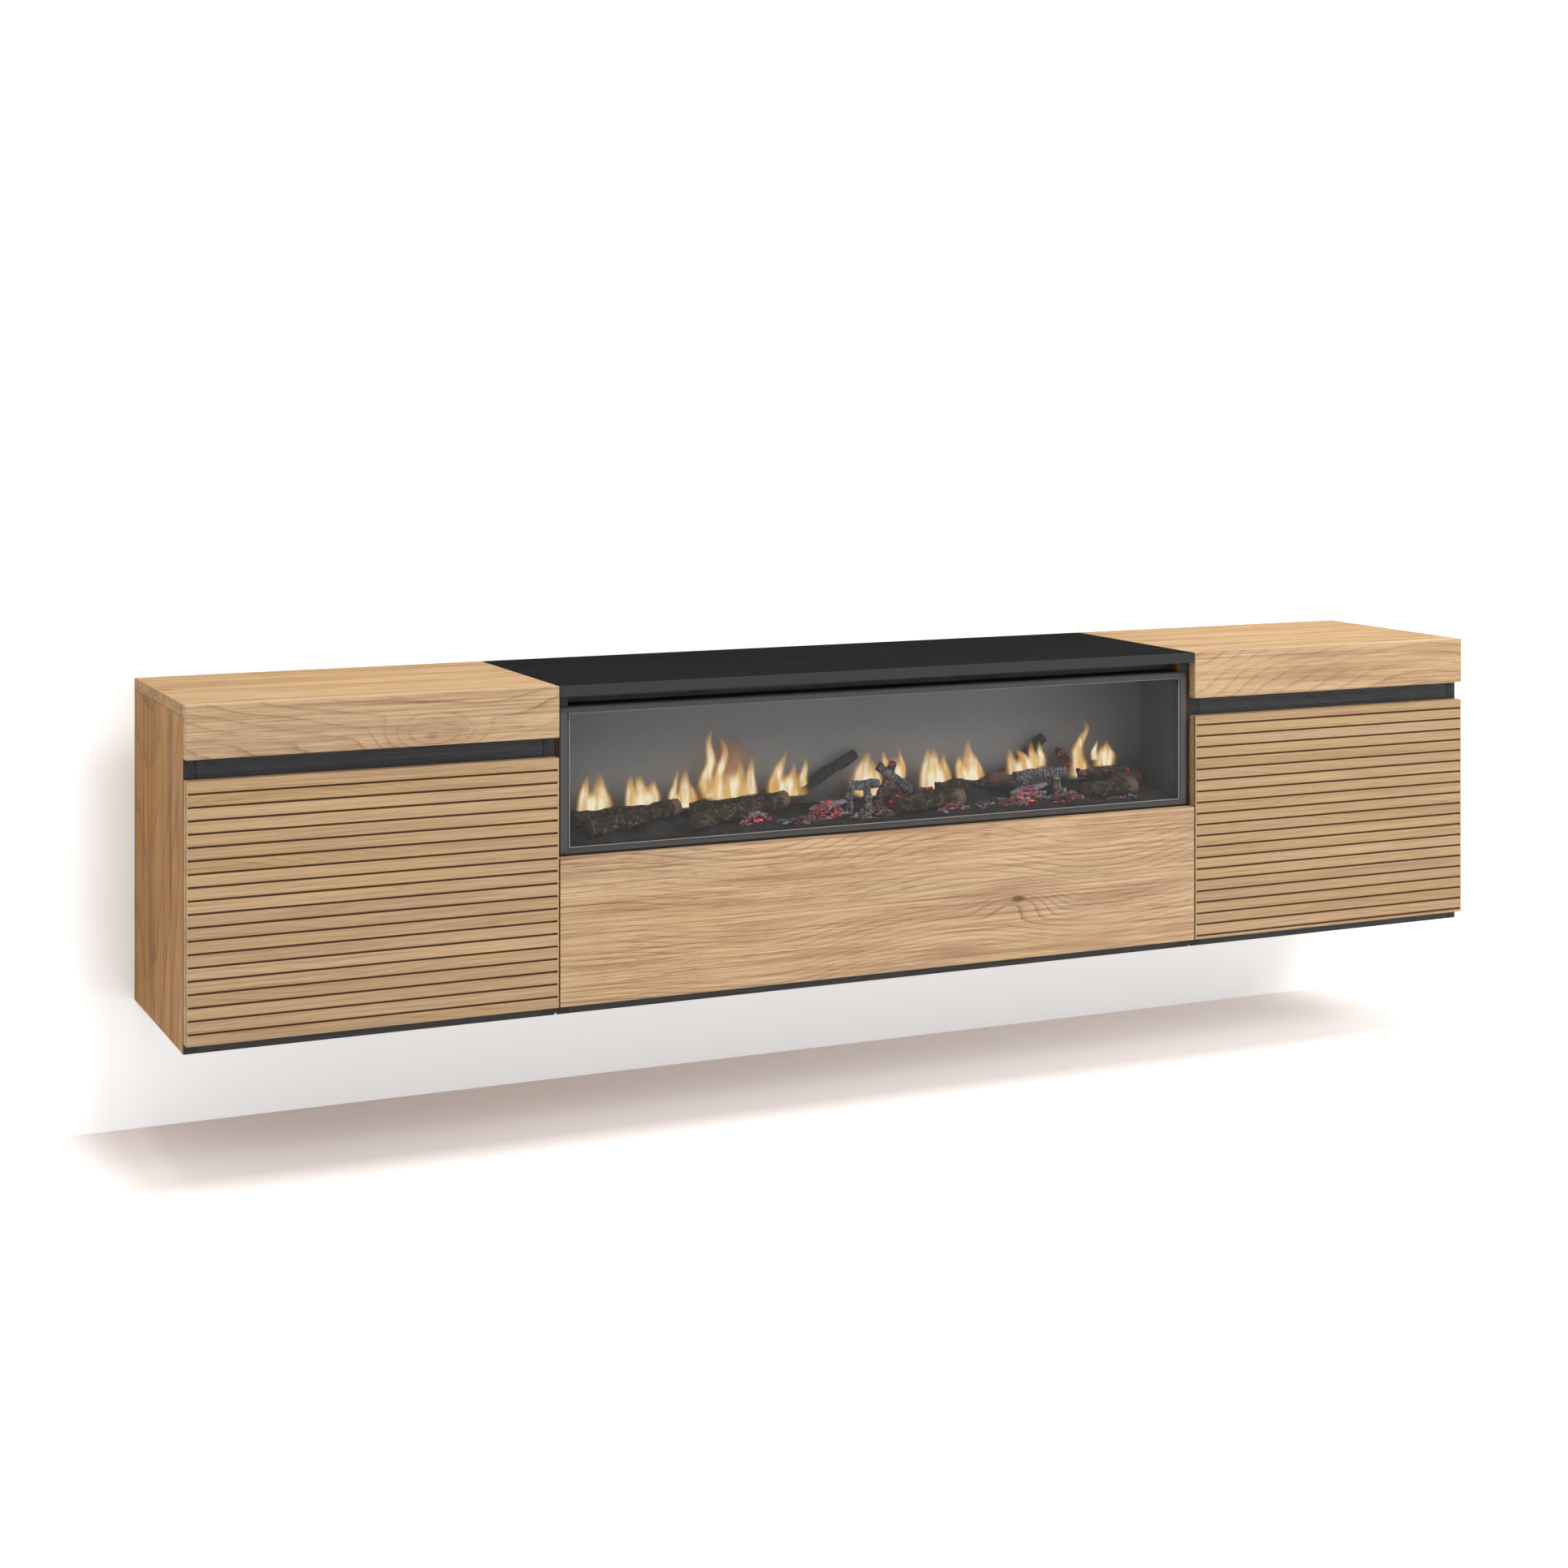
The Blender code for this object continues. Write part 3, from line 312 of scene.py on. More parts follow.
def new_finish(name):
    """An empty material: its graph and its shader."""
    material = bpy.data.materials.new(name)
    material.use_nodes = True
    return material, Graph(material.node_tree), material.node_tree.nodes["Principled BSDF"]


def tinted(colour, share):
    """A colour made darker or lighter."""
    return tuple(channel * share for channel in colour)


def turned_place(graph, place, grain):
    """The place with the grain along its first axis, then across it, then into the board."""
    x, y, z = graph.split(place)
    return graph.vector(*{"front": (x, z, y), "top": (x, y, z), "side": (z, y, x)}[grain])


def oak_colour(graph, place, grain, wood, contrast, bands, **values):
    """Colour and height of an oak laminate with its figure."""
    pale, brown = wood
    figure = graph.group("board grain", Place=turned_place(graph, place, grain), **values)
    line = tuple(channel * share for channel, share in zip(brown, (0.50, 0.43, 0.38)))
    golden = (pale[0] * 1.01, pale[1] * 0.985, pale[2] * 0.88)
    streaks = figure["Streaks"]
    colour = graph.coats(
        golden,
        (graph.span(figure["Tone"], 0.36, 0.66), pale),
        (graph.times(figure["Blotch"], 0.62 * contrast), brown),
        (graph.times(figure["Bands"], bands), tinted(brown, 0.88)),
        (graph.span(streaks, 0.49, 0.64, 0.0, 0.85 * contrast), brown),
        (graph.span(streaks, 0.48, 0.34, 0.0, 0.75 * contrast), tinted(pale, 1.20)),
        (graph.math("MULTIPLY", figure["Rings"], 0.95 * contrast, clamp=True), line),
        (graph.times(figure["Pores"], 0.60 * contrast), line),
        (graph.times(figure["Knots"], 0.85 * contrast), line))
    dents = graph.math("MAXIMUM", figure["Pores"], graph.times(figure["Rings"], 0.5))
    return colour, graph.minus(1.0, dents)


def oak_finish(name, grain, wood, seed, heart=0.02, arch=0.16, rings=150.0, contrast=1.0, bands=0.15,
               slats=None, dark_front=False, shine=0.12):
    """Oak laminate. Slats shift the figure from slat to slat, a dark front is its black edging."""
    material, graph, shader = new_finish(name)
    place = board_place = graph.place()
    if slats:
        first, pitch = slats
        x, y, z = graph.split(place)
        number = graph.math("FLOOR", graph.math("DIVIDE", graph.minus(z, first), pitch))
        chance_node = graph.add("TexWhiteNoise", noise_dimensions="1D")
        chance = graph.fill(chance_node, W=graph.math("ADD", number, seed))["Value"]
        shift = graph.times(chance, 4.0)
        board_place = graph.vector(graph.math("ADD", x, shift), y, graph.math("ADD", z, shift))
    colour, height = oak_colour(graph, board_place, grain, wood, contrast, bands,
                                Seed=seed, Heart=heart, Arch=arch, Rings=rings)
    if slats:
        tone = graph.span(chance, 0.0, 1.0, 0.90, 1.05)
        tone = graph.vector(tone, tone, graph.math("POWER", tone, 1.3))
        colour = graph.blend(1.0, colour, tone, "MULTIPLY")
        golden = graph.math("GREATER_THAN", graph.math("FRACT", graph.times(chance, 7.0)), 0.6)
        colour = graph.blend(graph.times(golden, 0.5), colour, (1.0, 0.985, 0.88), "MULTIPLY")
        # Painted shade: the grooves' walls and floor take the dark brown of the shade in them
        groove = graph.times(graph.span(y, *groove_slope), graph.math("LESS_THAN", y, groove_floor))
        colour = graph.blend(groove, colour, groove_painted_shade)
    if dark_front:
        edge = graph.math("LESS_THAN", graph.split(place)[1], carcass_front)
        colour = graph.blend(edge, colour, black_edging)
    cloud = graph.group("fine mottle", Place=place, Grain=700.0, Cloud=14.0)["Cloud"]
    graph.fill(shader, Base_Color=colour, Roughness=graph.span(cloud, 0.3, 0.7, 0.50, 0.62),
               Normal=graph.bump(height, 0.25, 0.00025), Specular_IOR_Level=shine)
    return material


def black_wood_finish(name, grain, dark, edge_colour=None, shine=0.2):
    """Black laminate with an embossed straight grain and a lighter front edge."""
    material, graph, shader = new_finish(name)
    place = graph.place()
    figure = graph.group("board grain", Place=turned_place(graph, place, grain), Seed=11.0,
                         Heart=0.05, Arch=0.22, Rings=170.0)
    rings, streaks = figure["Rings"], figure["Streaks"]
    colour = graph.coats(dark, (graph.span(streaks, 0.35, 0.72), tinted(dark, 2.3)),
                         (graph.times(rings, 0.75), tinted(dark, 0.35)))
    if edge_colour:
        front = graph.math("LESS_THAN", graph.split(place)[1], black_front)
        colour = graph.blend(front, colour, edge_colour)
    height = graph.minus(streaks, graph.times(rings, 0.8))
    graph.fill(shader, Base_Color=colour, Roughness=graph.span(streaks, 0.3, 0.7, 0.42, 0.58),
               Normal=graph.bump(height, 0.35, 0.0004), Specular_IOR_Level=shine)
    return material


def plain_finish(name, colour, roughness, metallic=0.0, grain=900.0, variation=0.12, relief=0.00004,
                 specular=0.5):
    """Paint, plastic, plated metal or board with a fine uneven surface."""
    material, graph, shader = new_finish(name)
    mottle = graph.group("fine mottle", Place=graph.place(), Grain=grain, Cloud=35.0)
    low, high = tinted(colour, 1 - variation), tinted(colour, 1 + variation)
    uneven = graph.coats(low, (graph.span(mottle["Cloud"], 0.3, 0.7), high),
                         (graph.span(mottle["Fine"], 0.35, 0.75, 0.0, variation), low))
    rough = graph.span(mottle["Fine"], 0.3, 0.7, roughness - 0.05, roughness + 0.07)
    graph.fill(shader, Base_Color=uneven, Roughness=rough, Metallic=metallic,
               Specular_IOR_Level=specular, Normal=graph.bump(mottle["Fine"], 0.3, relief))
    return material


def screen_finish():
    """The grey screen behind the flames: fine weave, with painted shade by the logs, toward the right
    wall and a little at the left end.
    """
    material, graph, shader = new_finish("flame_screen_grey")
    x, y, z = graph.split(graph.place())
    warp = graph.noise(graph.vector(graph.times(x, 1100.0), graph.times(z, 70.0), 0.0))
    weft = graph.noise(graph.vector(graph.times(x, 70.0), graph.times(z, 1100.0), 4.0))
    weave = graph.math("ADD", warp, weft)
    # Painted shade: darker down by the logs, toward the right wall and a little at the left end
    low = graph.span(z, -0.135, -0.066, 0.40, 1.0, smooth=True)
    right = graph.span(x, 0.20, 0.47, 1.0, 0.46, smooth=True)
    left = graph.span(x, -0.48, -0.20, 0.93, 1.0)
    shade = graph.times(low, right, graph.span(weave, 0.7, 1.3, 0.90, 1.10), left, 0.275)
    graph.fill(shader, Base_Color=graph.vector(shade, shade, shade), Roughness=0.8,
               Specular_IOR_Level=0.1, Normal=graph.bump(weave, 0.3, 0.0002))
    return material


def glass_finish():
    """Clear glass with a faint grey veil."""
    material, graph, shader = new_finish("clear_glass")
    smear = graph.noise(graph.scaled(graph.place(), (7.0, 7.0, 18.0)), detail=4.0)
    graph.fill(shader, Base_Color=(0.150, 0.148, 0.146, 1), Roughness=0.05, Specular_IOR_Level=0.05,
               Alpha=graph.span(smear, 0.2, 0.8, 0.09, 0.11))
    return material


def frame_finish(name, outer, bands):
    """Satin frame with bands that follow a rectangle: each starts at a distance inside it. Near its top
    it darkens with painted shadow, as under the overhang above.
    """
    material, graph, shader = new_finish(name)
    place = graph.place()
    x, y, z = graph.split(place)
    left, right, bottom, top = outer
    sides = graph.math("MINIMUM", graph.minus(x, left), graph.minus(right, x))
    ends = graph.math("MINIMUM", graph.minus(z, bottom), graph.minus(top, z))
    inward = graph.math("MINIMUM", sides, ends)
    mottle = graph.group("fine mottle", Place=place, Grain=1400.0, Cloud=30.0)
    colour = graph.coats(
        bands[0][1],
        *((graph.math("GREATER_THAN", inward, start), tint) for start, tint in bands[1:]),
        (graph.span(mottle["Fine"], 0.35, 0.70, 0.0, 0.14), black),
        # Painted shadow: darker near the top, as under the overhang above
        (graph.span(graph.minus(top, z), 0.012, 0.007, 0.0, 0.35), black))
    graph.fill(shader, Base_Color=colour,
               Roughness=graph.span(mottle["Cloud"], 0.3, 0.7, 0.40, 0.52), Specular_IOR_Level=0.3,
               Normal=graph.bump(mottle["Fine"], 0.2, 0.00003))
    return material


def bark_finish(name, dark, light, lichen, sawn, sawn_right, glow=0.0, ash=0.0, bare=0.0):
    """Bark or char on a log, which is bare wood for a length at its right end.

    The attribute end_ring is 0 to 1 on the sawn ends and 2 on the bark. The attributes length_place
    and length_left are the distances along the log from its left end and to its right end.
    """
    material, graph, shader = new_finish(name)
    place = graph.place()
    coarse = graph.noise(place, 170.0, 4.0, 0.65)
    fine = graph.noise(place, 640.0, 3.0, 0.6)
    flecks = graph.span(graph.noise(place, 540.0, 2.0, 0.6), 0.53, 0.60)
    spots = graph.times(flecks, graph.span(graph.noise(place, 75.0), 0.43, 0.57))
    colour = graph.coats(dark, (graph.span(coarse, 0.38, 0.66), light), (spots, lichen))
    if bare:
        left = graph.mark("length_left")
        ragged = graph.lean(coarse, 0.030, left)
        hoops = graph.math("FRACT", graph.times_plus(coarse, 1.2, graph.times(left, 330.0)))
        wood = graph.blend(graph.span(hoops, 0.2, 0.9, 0.0, 0.8), sawn_right,
                           tinted(sawn_right, 0.25))
        colour = graph.blend(graph.span(ragged, bare, bare * 1.25, 1.0, 0.0), colour, wood)

    # Cracks round the log and between the plates of the bark
    along = graph.mark("length_place")
    bent = graph.times_plus(coarse, 0.010, along)
    gap = graph.math("ABSOLUTE", graph.minus(graph.math("FRACT", graph.times(bent, 190.0)), 0.5))
    splits = graph.cells(graph.scaled(place, (120.0, 120.0, 120.0)), "DISTANCE_TO_EDGE")["Distance"]
    crack = graph.math("MAXIMUM", graph.span(splits, 0.0, 0.09, 1.0, 0.0),
                       graph.span(gap, 0.0, 0.16, 1.0, 0.0))
    if ash:
        dusty = graph.times(graph.span(graph.upward(), -0.5, 0.7, 0.15, 1.0),
                            graph.span(coarse, 0.34, 0.56))
        colour = graph.coats(colour, (graph.times(dusty, ash), log_ash),
                             (graph.times(crack, 0.85), (0.012, 0.011, 0.011)))

    # The sawn ends
    ring = graph.mark("end_ring")
    end = graph.span(ring, 1.02, 1.3, 1.0, 0.0)
    circles = graph.math("FRACT", graph.times_plus(coarse, 0.8, graph.times(ring, 5.0)))
    cut = graph.coats(sawn, (graph.math("GREATER_THAN", along, 0.02), sawn_right),
                      (graph.times(graph.math("POWER", circles, 2.0), 0.6), tinted(sawn, 0.4)))
    height = graph.minus(graph.times_plus(fine, 0.4, coarse), graph.times(crack, 0.3))
    graph.fill(shader, Base_Color=graph.blend(end, colour, cut), Roughness=0.85,
               Specular_IOR_Level=0.2, Normal=graph.bump(height, 1.0, 0.0025))
    if glow:
        hot = graph.times(graph.span(graph.noise(place, 110.0), 0.54, 0.64),
                          graph.span(fine, 0.42, 0.58))
        stops = [(0.0, black), (0.45, (0.20, 0.010, 0.008)), (1.0, (0.85, 0.10, 0.06))]
        graph.fill(shader, Emission_Color=graph.ramp(hot, stops), Emission_Strength=glow)
    return material


def ember_finish():
    """Broken embers: black char, blue-white ash on what faces up, red heat between the lumps."""
    material, graph, shader = new_finish("broken_embers")
    place = graph.place()
    coarse = graph.noise(place, 190.0, 3.0, 0.6)
    fine = graph.noise(place, 800.0)
    char = graph.span(fine, 0.42, 0.62)
    colour = graph.blend(char, (0.010, 0.009, 0.009), (0.120, 0.117, 0.120))
    ash = graph.times(graph.span(graph.times_plus(graph.upward(), 0.35, coarse), 0.36, 0.62),
                      graph.mark("lump_ash"))
    hot = graph.span(graph.noise(place, 240.0), 0.41, 0.55)
    heat = graph.times(hot, graph.mark("lump_heat"), graph.minus(1.0, graph.times(ash, 0.75)))
    stops = [(0.0, black), (0.35, (0.20, 0.004, 0.004)), (0.75, (0.78, 0.030, 0.022)),
             (1.0, (1.0, 0.24, 0.14))]
    graph.fill(shader, Base_Color=graph.blend(ash, colour, ember_ash), Roughness=0.9,
               Specular_IOR_Level=0.2,
               Normal=graph.bump(graph.math("ADD", coarse, fine), 0.7, 0.0008),
               Emission_Color=graph.ramp(heat, stops), Emission_Strength=1.0)
    return material


def flame_finish(name, core, mantle, rim):
    """A tongue of flame: UV runs across it and up it, and it thins out to its edges and tip."""
    material, graph, shader = new_finish(name)
    u, v, w = graph.split(graph.add("UVMap", uv_map="tongue").outputs[0])
    place = graph.place()
    rolling = graph.noise(graph.scaled(place, (70.0, 1.0, 30.0)))
    off = graph.lean(rolling, 0.35, graph.math("ABSOLUTE", graph.times_plus(u, 2.0, -1.0)))
    tip = graph.span(v, 0.38, 1.0, 1.0, 0.0, smooth=True)
    foot = graph.span(v, 0.0, 0.07, 0.0, 1.0, smooth=True)
    body = graph.span(off, 0.22, 0.96, 1.0, 0.0, smooth=True)
    licks = graph.noise(graph.scaled(place, (105.0, 1.0, 24.0)), detail=1.5, roughness=0.4,
                        distortion=0.4)
    heat = graph.times(body, graph.span(tip, 0.0, 1.0, 0.35, 1.0),
                       graph.span(licks, 0.40, 0.64, 1.0, 0.42))
    graph.fill(shader, Base_Color=(*black, 1), Specular_IOR_Level=0.0,
               Emission_Color=graph.ramp(heat, [(0.08, rim), (0.50, mantle), (0.92, core)]),
               Emission_Strength=1.0, Alpha=graph.times(body, graph.math("POWER", tip, 0.6), foot))
    return material


def linked_piece(name, shape, material, smooth=False):
    """Turn a bmesh into an object in the scene."""
    mesh = bpy.data.meshes.new(name)
    shape.to_mesh(mesh)
    shape.free()
    if smooth:
        mesh.shade_smooth()
    mesh.materials.append(material)
    piece = bpy.data.objects.new(name, mesh)
    bpy.context.scene.collection.objects.link(piece)
    return piece


def finished_piece(name, shape, material, body="cabinet", smooth=True):
    """Turn a bmesh into a piece that rides on a body."""
    piece = linked_piece(name, shape, material, smooth)
    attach(piece, body)
    return piece


def float_layers(shape, *names):
    """Number layers on a shape's vertices, made where they are missing."""
    floats = shape.verts.layers.float
    for name in names:
        if floats.get(name) is None:
            floats.new(name)
    return [floats.get(name) for name in names]


def bed_place(across, back, up):
    """A place over the fuel bed from shares of its half width, its depth and a log's radius."""
    return Vector((across * bed_high.x, bed_low.y + back * (bed_high.y - bed_low.y),
                   bed_low.z + bed_front_height + up * log_radius))


def square_share(angle, squareness):
    """How far the rim of a rounded square lies out at an angle, next to a circle."""
    power = 2 + 6 * squareness
    spread = abs(math.cos(angle)) ** power + abs(math.sin(angle)) ** power
    return spread ** (-1 / power)


def add_log(shape, start, end, radius, number, roughness, squareness, sides=28, rings=30):
    """Sweep a ring of edges from end to end, with bark relief, and close it with sawn ends."""
    layer, length_layer, left_layer = float_layers(shape, "end_ring", "length_place", "length_left")
    length = (end - start).length
    along = (end - start).normalized()
    side = along.cross(Vector((0, 0, 1))).normalized()
    lift = side.cross(along)

    def place_ring(ring, share, swell, mark):
        bend = math.sin(math.pi * share) * 0.0012
        phase = 2.1 * number + 5.3 * share
        centre = start.lerp(end, share)
        centre = centre + side * math.sin(phase) * bend + lift * math.cos(1.7 * phase) * bend / 2
        for index, vertex in enumerate(ring):
            angle = 2 * math.pi * index / sides
            out = side * math.cos(angle) + lift * math.sin(angle)
            spot = Vector((math.cos(angle) * 1.6, math.sin(angle) * 1.6, share * 5 + number * 9))
            rough = noise.fractal(spot * 1.7, 0.9, 2.1, 4) * roughness
            thick = radius * (1 + 0.07 * math.sin(3.1 * phase)) * (1 + rough)
            vertex.co = centre + out * (thick * square_share(angle, squareness)) * swell
            vertex[layer] = mark
            vertex[length_layer] = share * length
            vertex[left_layer] = (1 - share) * length

    first = bmesh.ops.create_circle(shape, segments=sides, radius=radius)["verts"]
    place_ring(first, 0.0, 0.02, 0.0)
    steps = [(0.0, 0.35, 0.35), (0.0, 0.7, 0.7), (0.0, 0.96, 1.0), (0.004, 1.0, 2.0)]
    steps += [(index / rings, 1.0, 2.0) for index in range(1, rings)]
    steps += [(0.996, 1.0, 2.0), (1.0, 0.96, 1.0), (1.0, 0.7, 0.7), (1.0, 0.35, 0.35)]
    steps += [(1.0, 0.02, 0.0)]
    current = first
    edges = list({edge for vertex in first for edge in vertex.link_edges})
    for step in steps:
        grown = bmesh.ops.extrude_edge_only(shape, edges=edges)["geom"]
        follower = {}
        for vertex in (item for item in grown if isinstance(item, bmesh.types.BMVert)):
            for edge in vertex.link_edges:
                other = edge.other_vert(vertex)
                if other in current:
                    follower[other] = vertex
        current = [follower[vertex] for vertex in current]
        members = set(current)
        edges = [edge for edge in grown if isinstance(edge, bmesh.types.BMEdge)
                 and edge.verts[0] in members and edge.verts[1] in members]
        place_ring(current, *step)
    for rim in (first, current):
        bmesh.ops.contextual_create(shape, geom=list(rim))


# Logs: start and end as shares of the bed, thickness in log radii, kind
logs = (
    ((-0.922, 0.20, 1.28), (-0.624, 0.55, 2.67), 0.88, "bark"),
    ((-0.605, 0.18, 1.22), (-0.277, 0.60, 2.52), 0.90, "bark"),
    ((-0.942, 0.66, 1.77), (-0.621, 0.80, 2.10), 0.86, "dark"),
    ((-0.573, 0.74, 1.84), (-0.195, 0.84, 2.74), 0.82, "dark"),
    ((-0.213, 0.82, 3.00), (-0.021, 0.88, 6.54), 0.63, "smooth"),
    ((-0.106, 0.35, 3.71), (0.001, 0.35, 3.81), 0.48, "ash"),
    ((-0.090, 0.35, 3.60), (-0.100, 0.30, 0.61), 0.38, "ash"),
    ((-0.037, 0.35, 3.60), (-0.041, 0.27, 0.58), 0.42, "ash"),
    ((0.006, 0.45, 0.90), (0.092, 0.75, 5.43), 0.50, "charred"),
    ((0.030, 0.62, 5.33), (0.134, 0.56, 2.40), 0.50, "ash"),
    ((0.059, 0.28, 1.21), (0.288, 0.40, 1.49), 0.95, "bark"),
    ((0.060, 0.72, 1.90), (0.200, 0.50, 2.20), 0.60, "charred"),
    ((0.230, 0.76, 2.16), (0.509, 0.84, 2.76), 0.83, "dark"),
    ((0.482, 0.50, 3.20), (0.654, 0.45, 3.50), 0.56, "ash"),
    ((0.517, 0.50, 3.10), (0.491, 0.45, 0.64), 0.46, "ash"),
    ((0.622, 0.47, 3.40), (0.619, 0.35, 0.71), 0.46, "ash"),
    ((0.708, 0.30, 1.29), (0.900, 0.45, 1.21), 0.95, "bark"),
    ((0.850, 0.72, 1.72), (0.960, 0.76, 1.72), 0.84, "dark"),
    ((0.735, 0.74, 2.60), (0.918, 0.76, 2.74), 0.50, "charred"),
    ((0.677, 0.88, 5.60), (0.745, 0.78, 2.70), 0.47, "charred"),
    ((0.495, 0.83, 3.20), (0.631, 0.90, 7.01), 0.56, "smooth"),
)

# Ember heaps in millimetres: across, into the room, spread both ways and height, then the number
# of lumps, heat and ash
heaps = (
    (-197, -300, 24, 8, 12, 56, 0.9, 0.9),
    (-152, -303, 13, 5, 5, 12, 0.1, 1.0),
    (-122, -300, 26, 9, 8, 40, 0.3, 0.5),
    (-84, -296, 32, 11, 21, 150, 1.0, 0.9),
    (-12, -302, 34, 10, 12, 90, 0.3, 0.7),
    (42, -270, 12, 8, 14, 26, 1.0, 0.1),
    (116, -304, 26, 8, 11, 52, 0.8, 0.9),
    (168, -300, 16, 7, 8, 26, 0.2, 1.0),
    (208, -300, 18, 8, 8, 34, 0.3, 0.4),
    (243, -294, 30, 11, 21, 150, 1.0, 0.9),
    (308, -300, 32, 10, 13, 90, 0.35, 0.75),
    (352, -290, 14, 8, 14, 30, 0.9, 0.2),
    (404, -306, 26, 5, 4, 14, 0.2, 0.9),
)

# Pale ash over the two high heaps, in millimetres: middle and length
ash_caps = {
    3: (-76, -291, -122, 42),
    9: (252, -289, -121, 42),
}

# The bed's own heaps, which carry the logs: places as shares of the bed, and shares of the height
swells = (
    (-0.40, 0.30, 0.55), (-0.17, 0.35, 0.75), (-0.10, 0.52, 0.85), (0.00, 0.40, 0.60),
    (0.25, 0.22, 0.40), (0.40, 0.36, 0.60), (0.55, 0.40, 0.90), (0.66, 0.36, 0.65),
    (0.78, 0.80, 0.75), (0.10, 0.75, 0.60), (-0.75, 0.85, 0.35), (-0.87, 0.30, 0.85),
    (-0.70, 0.44, 1.30), (-0.53, 0.30, 0.85), (-0.37, 0.46, 1.20), (0.36, 0.80, 1.40),
)
swell_height = 0.010
swell_spread = 0.022
bed_rise = 0.017

# Tongues of flame, in millimetres: across, up and width at places from the foot to the tip
flame_plane = -0.245
flames = (
    (
        ((-432, -114, 22), (-433, -97, 16), (-431, -77, 10), (-426, -60, 1)),
        ((-411, -114, 39), (-408, -98, 27), (-410, -78, 15), (-410, -57, 1)),
    ),
    (
        ((-362, -118, 23), (-362, -99, 18), (-365, -78, 10), (-363, -63, 3)),
        ((-345, -117, 24), (-346, -97, 21), (-351, -79, 15), (-352, -66, 9)),
        ((-330, -115, 18), (-328, -98, 16), (-331, -84, 12), (-329, -75, 4)),
    ),
    (
        ((-297, -116, 18), (-301, -100, 12), (-297, -80, 7), (-293, -58, 1)),
        ((-281, -117, 42), (-280, -101, 29), (-283, -81, 15), (-280, -60, 1)),
    ),
    (
        ((-243, -110, 25), (-250, -83, 20), (-242, -55, 14), (-246, -26, 8), (-240, -7, 1)),
        ((-226, -111, 25), (-233, -84, 16), (-226, -62, 13), (-221, -39, 8), (-232, -16, 1)),
        ((-203, -111, 26), (-204, -92, 19), (-198, -72, 11), (-200, -52, 4)),
        ((-182, -111, 22), (-181, -91, 16), (-181, -70, 10), (-178, -50, 3)),
    ),
    (
        ((-144, -112, 25), (-143, -90, 20), (-135, -67, 14), (-123, -44, 1)),
        ((-122, -113, 32), (-125, -100, 26), (-117, -83, 13), (-113, -61, 1)),
        ((-98, -108, 16), (-100, -90, 13), (-96, -73, 8), (-94, -56, 1)),
    ),
    (
        ((-4, -120, 33), (-7, -93, 28), (-1, -70, 16), (6, -52, 1)),
        ((21, -120, 20), (17, -98, 20), (13, -80, 13), (9, -65, 3)),
    ),
    (
        ((46, -103, 20), (37, -81, 13), (31, -66, 7), (29, -54, 1)),
        ((56, -100, 17), (61, -83, 9), (57, -67, 5), (53, -52, 1)),
    ),
    (
        ((101, -120, 23), (99, -97, 20), (101, -73, 13), (103, -51, 1)),
        ((116, -116, 37), (114, -92, 27), (111, -71, 15), (113, -54, 1)),
        ((133, -114, 20), (132, -93, 15), (128, -78, 9), (129, -63, 1)),
    ),
    (
        ((158, -111, 17), (155, -95, 14), (153, -79, 8), (153, -70, 1)),
        ((172, -111, 37), (173, -90, 32), (170, -68, 14), (169, -44, 1)),
        ((189, -112, 24), (185, -94, 17), (182, -80, 8), (180, -69, 1)),
    ),
    (
        ((247, -117, 28), (247, -101, 21), (242, -82, 15), (239, -63, 3)),
        ((265, -102, 21), (266, -87, 17), (258, -74, 12), (252, -67, 5)),
        ((278, -98, 21), (280, -84, 16), (276, -69, 9), (274, -53, 1)),
        ((292, -97, 19), (294, -82, 14), (291, -70, 8), (291, -56, 1)),
    ),
    (
        ((365, -120, 39), (359, -95, 25), (356, -74, 18), (365, -56, 13), (373, -41, 7), (363, -26, 1)),
    ),
    (
        ((402, -103, 36), (409, -86, 25), (406, -74, 12), (407, -61, 1)),
        ((388, -93, 12), (386, -79, 9), (390, -68, 4), (393, -60, 1)),
    ),
)
glows = (
    ((-223, -99, 37), (-214, -71, 63), (-207, -45, 60), (-220, -19, 28)),
)

# The flames' sheets, in metres in front of their plane, and their share of the tongues' widths
sheet_offset = 0.0030
sheet_step = 0.0011
foot_offset = 0.0066
foot_fullness = 1.12
tongue_fullness = 1.5
glow_offset = -0.004
glow_fullness = 1.2
tongue_bow = 0.0025


def bed_level(x, y):
    """The height of the bed's surface."""
    back = (y - bed_low.y) / (bed_high.y - bed_low.y)
    level = bed_low.z + bed_front_height + bed_rise * back * back * (3 - 2 * back)
    for across, into, share in swells:
        spot = bed_place(across, into, 0)
        away = math.hypot(x - spot.x, y - spot.y) / swell_spread
        level += share * swell_height * math.exp(-away * away)
    return level


def make_ground():
    """The ground of soot under the logs, down to the bed's foot."""
    ground = bmesh.new()
    middle = (bed_low + bed_high) / 2
    reach = (bed_high - bed_low) / 2
    bmesh.ops.create_grid(
        ground, x_segments=300, y_segments=36, size=1,
        matrix=Matrix.Translation((middle.x, middle.y, 0)) @ Matrix.Diagonal((reach.x, reach.y, 1, 1)))
    for vertex in ground.verts:
        bumps = noise.fractal(vertex.co * 90, 1.0, 2.0, 4)
        vertex.co.z = bed_level(vertex.co.x, vertex.co.y) + bumps * 0.0006
    rim = [edge for edge in ground.edges if edge.is_boundary]
    for item in bmesh.ops.extrude_edge_only(ground, edges=rim)["geom"]:
        if isinstance(item, bmesh.types.BMVert):
            item.co.z = bed_low.z
    foot = [edge for edge in ground.edges if edge.is_boundary]
    bmesh.ops.contextual_create(ground, geom=foot)
    return ground


